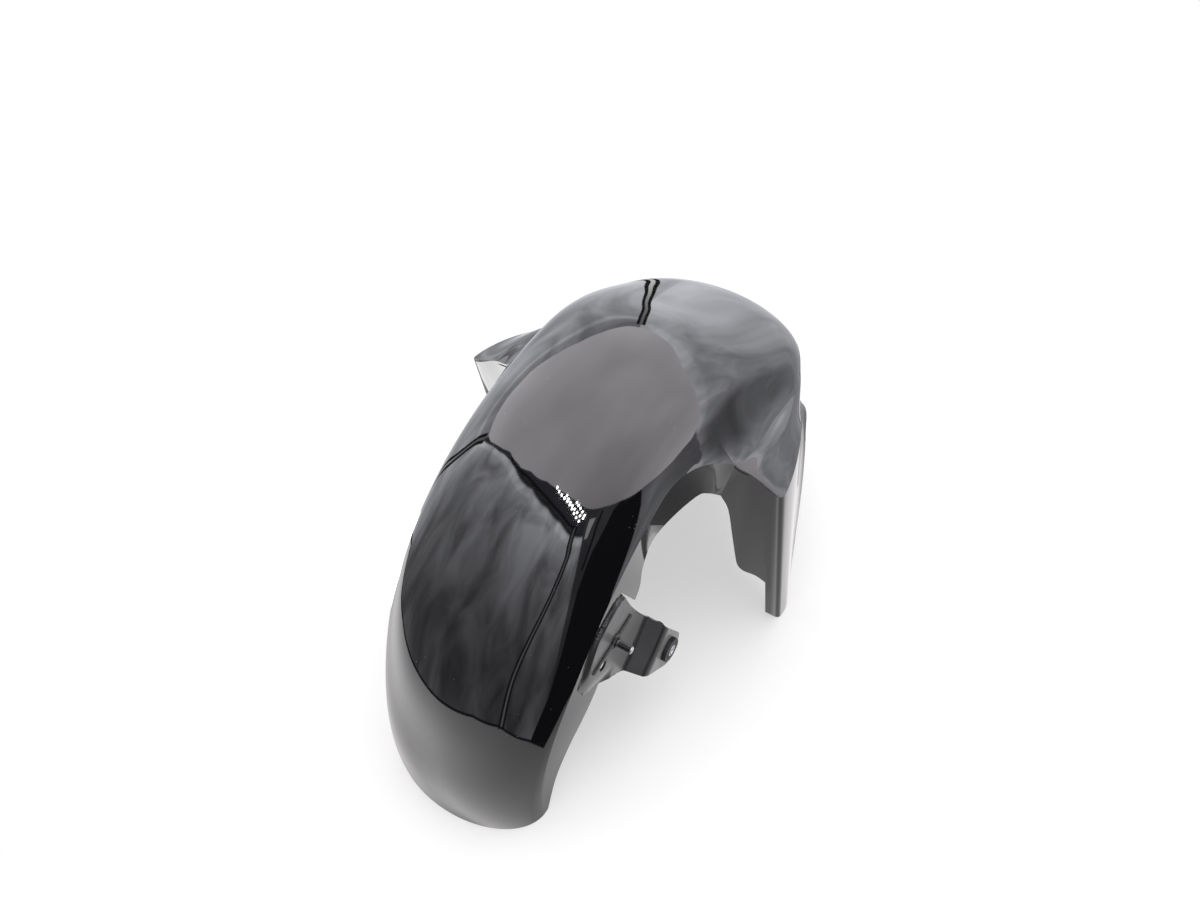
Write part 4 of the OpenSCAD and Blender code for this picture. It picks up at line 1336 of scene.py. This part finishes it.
def strip(name, line, widths, material, radius):
    """A narrow strip on the dome along a line of directions, with its first and last width in degrees."""
    rows = []
    for k, (a, e) in enumerate(line):
        width = between(*widths, k / (len(line) - 1))
        (a0, e0), (a1, e1) = line[max(0, k - 1)], line[min(len(line) - 1, k + 1)]
        shrink = max(0.25, math.cos(math.radians(e)))
        along = Vector(((a1 - a0) * shrink, e1 - e0)).normalized()
        off = (-along[1] * width / 2 / shrink, along[0] * width / 2)
        rows.append([toward(a - off[0], e - off[1], radius), toward(a + off[0], e + off[1], radius)])
    return room_piece(name, rows, material)


def finer(line, parts=6):
    """The same line with more points, smoothed."""
    return [tuple(through(line, k / parts)) for k in range((len(line) - 1) * parts + 1)]


print("an even line of 3 points gets", len(finer([(0, 0), (1, 0), (2, 0)])), "points")

# %% [markdown]
# Three seams run down the walls and one edge follows the rear wall's top. At the door a frame and a short glare
# lie where the cloth is tied back.

# %% Seams
seam_lines = {
    "seam_ahead": ([(24, 31), (24, 23), (24, 13), (25, 4), (26, -9), (28, -20), (30, -34)], (3.6, 1.2), (1.2, 0.4)),
    "seam_left": ([(93, 21), (91, 14), (90, 8), (88, -1), (83, -14), (72, -34)], (3.4, 2.4), (1.0, 0.7)),
    "seam_rear": ([(219, 49), (218, 43), (218, 37), (212, 24), (204, 10), (199, -4), (198, -23)],
                  (3.6, 3.6), (1.2, 1.2))}
seams = []
for name, (line, widths, stripe_widths) in seam_lines.items():
    seams.append(strip(name, finer(line), widths, dark, SEAM_RADIUS))
    seams.append(strip(name + "_light", finer(line), stripe_widths, pale_seam, STRIPE_RADIUS))
rear_top = finer([(114, 47), (138, 57.5), (168, 61), (197, 57.5), (219, 49)])
seams.append(strip("edge_rear", rear_top, (1.1, 1.1), dark, STRIPE_RADIUS))
seams.append(strip("corner_glare", [(-124, 47), (-126.5, 43.5), (-128, 40)], (4.5, 2), glare, 1.465))
seams.append(strip("door_frame", [(-115, 46), (-119, 42), (-122, 35), (-126, 26)], (1.6, 1.6), dark, STRIPE_RADIUS))
print("strips:", [piece.name for piece in seams])

# %% [markdown]
# The open door is the large black shape on the crown's right side, and its outline is again a line of
# directions. The dark gap lies between the roof and the rear wall, and a thin line marks where walls meet floor.

# %% Door, gap and base line
DOOR_RADIUS, BASE_RADIUS, GAP_RADIUS = 1.45, 1.455, 1.48
door_top = [(-136, -35), (-130, -24), (-128, -8), (-127, 15), (-121, 29), (-106, 39), (-100, 38.7), (-86, 26)]
turns = [93 + 4 * k for k in range(35)]
gap_rows = [[toward(t, between(on_line(roof_edge, turn_back(t)), on_line(rear_edge, t), r), GAP_RADIUS)
             for t in turns] for r in (0, 1)]
turns = [-136 + 2 * k for k in range(26)]
door_rows = [[toward(t, between(on_line(door_top, t), on_line(base_line, t), r / 12), DOOR_RADIUS)
              for t in turns] for r in range(13)]
base_rows = [[toward(t, on_line(base_line, t) + e, BASE_RADIUS) for t in range(-180, 181, 4)] for e in (-0.5, 0.5)]
openings = [room_piece("dark_gap", gap_rows, gap_dark), room_piece("tent_door", door_rows, dark),
            room_piece("base_line", base_rows, dark)]
print("openings:", [piece.name for piece in openings])

# %% [markdown]
# Beside the roof hang three short rows of small bright lamps, which the crown's corner mirrors as a patch of
# white dots. Each lamp is a flat oval of twelve points that leans the way its row runs.

# %% Light dots
bright, _, _ = glow("light dots", 60.0)
dot_rows = [([(178, 66), (204, 61), (222, 51)], 10), ([(198, 64), (212, 58.5), (226, 51)], 8),
            ([(215, 60), (221, 56.5), (227, 52)], 5)]
DOT_LENGTH, DOT_WIDTH, DOTS_RADIUS = 0.02, 0.01, 1.44
dots_points, dots_faces = [], []
for line, count in dot_rows:
    for k in range(count):
        azimuth, elevation = through(line, 2 * k / (count - 1))
        centre = toward(azimuth, elevation, DOTS_RADIUS)
        across = (centre - DOME_CENTRE).cross(Vector((0, 0, 1))).normalized()
        down = (centre - DOME_CENTRE).cross(across).normalized()
        along, aside = 0.56 * down - 0.83 * across, 0.83 * down + 0.56 * across
        first = len(dots_points)
        for n in range(12):
            t = math.tau * n / 12
            dots_points.append(centre + DOT_LENGTH * math.cos(t) * along + DOT_WIDTH * math.sin(t) * aside)
        dots_faces.append(tuple(range(first, first + 12)))
dots_mesh = bpy.data.meshes.new("light_dots")
dots_mesh.from_pydata(dots_points, [], dots_faces)
dots_mesh.materials.append(bright)
only_reflected(bpy.data.objects.new("light_dots", dots_mesh))
print(len(dots_faces), "light dots")

# %% [markdown]
# The camera looks down from behind the right side, at the photograph's viewing angle. Its place and lens were
# fitted to the part's outline, so straight edges and the far shield fall where the photograph has them.

# %% Camera
view = bpy.data.cameras.new("camera")
view.lens = 30
view.sensor_width = 36
view.clip_start = 0.01
camera = bpy.data.objects.new("camera", view)
bpy.context.scene.collection.objects.link(camera)
camera.location = (-0.4262, -0.2599, 0.7045)
camera.rotation_euler = (math.radians(43.2), 0, math.radians(-57.5))
bpy.context.scene.camera = camera
bpy.context.scene.view_settings.view_transform = "Standard"
print("camera at", [round(v, 3) for v in camera.location], "with a", view.lens, "mm lens")
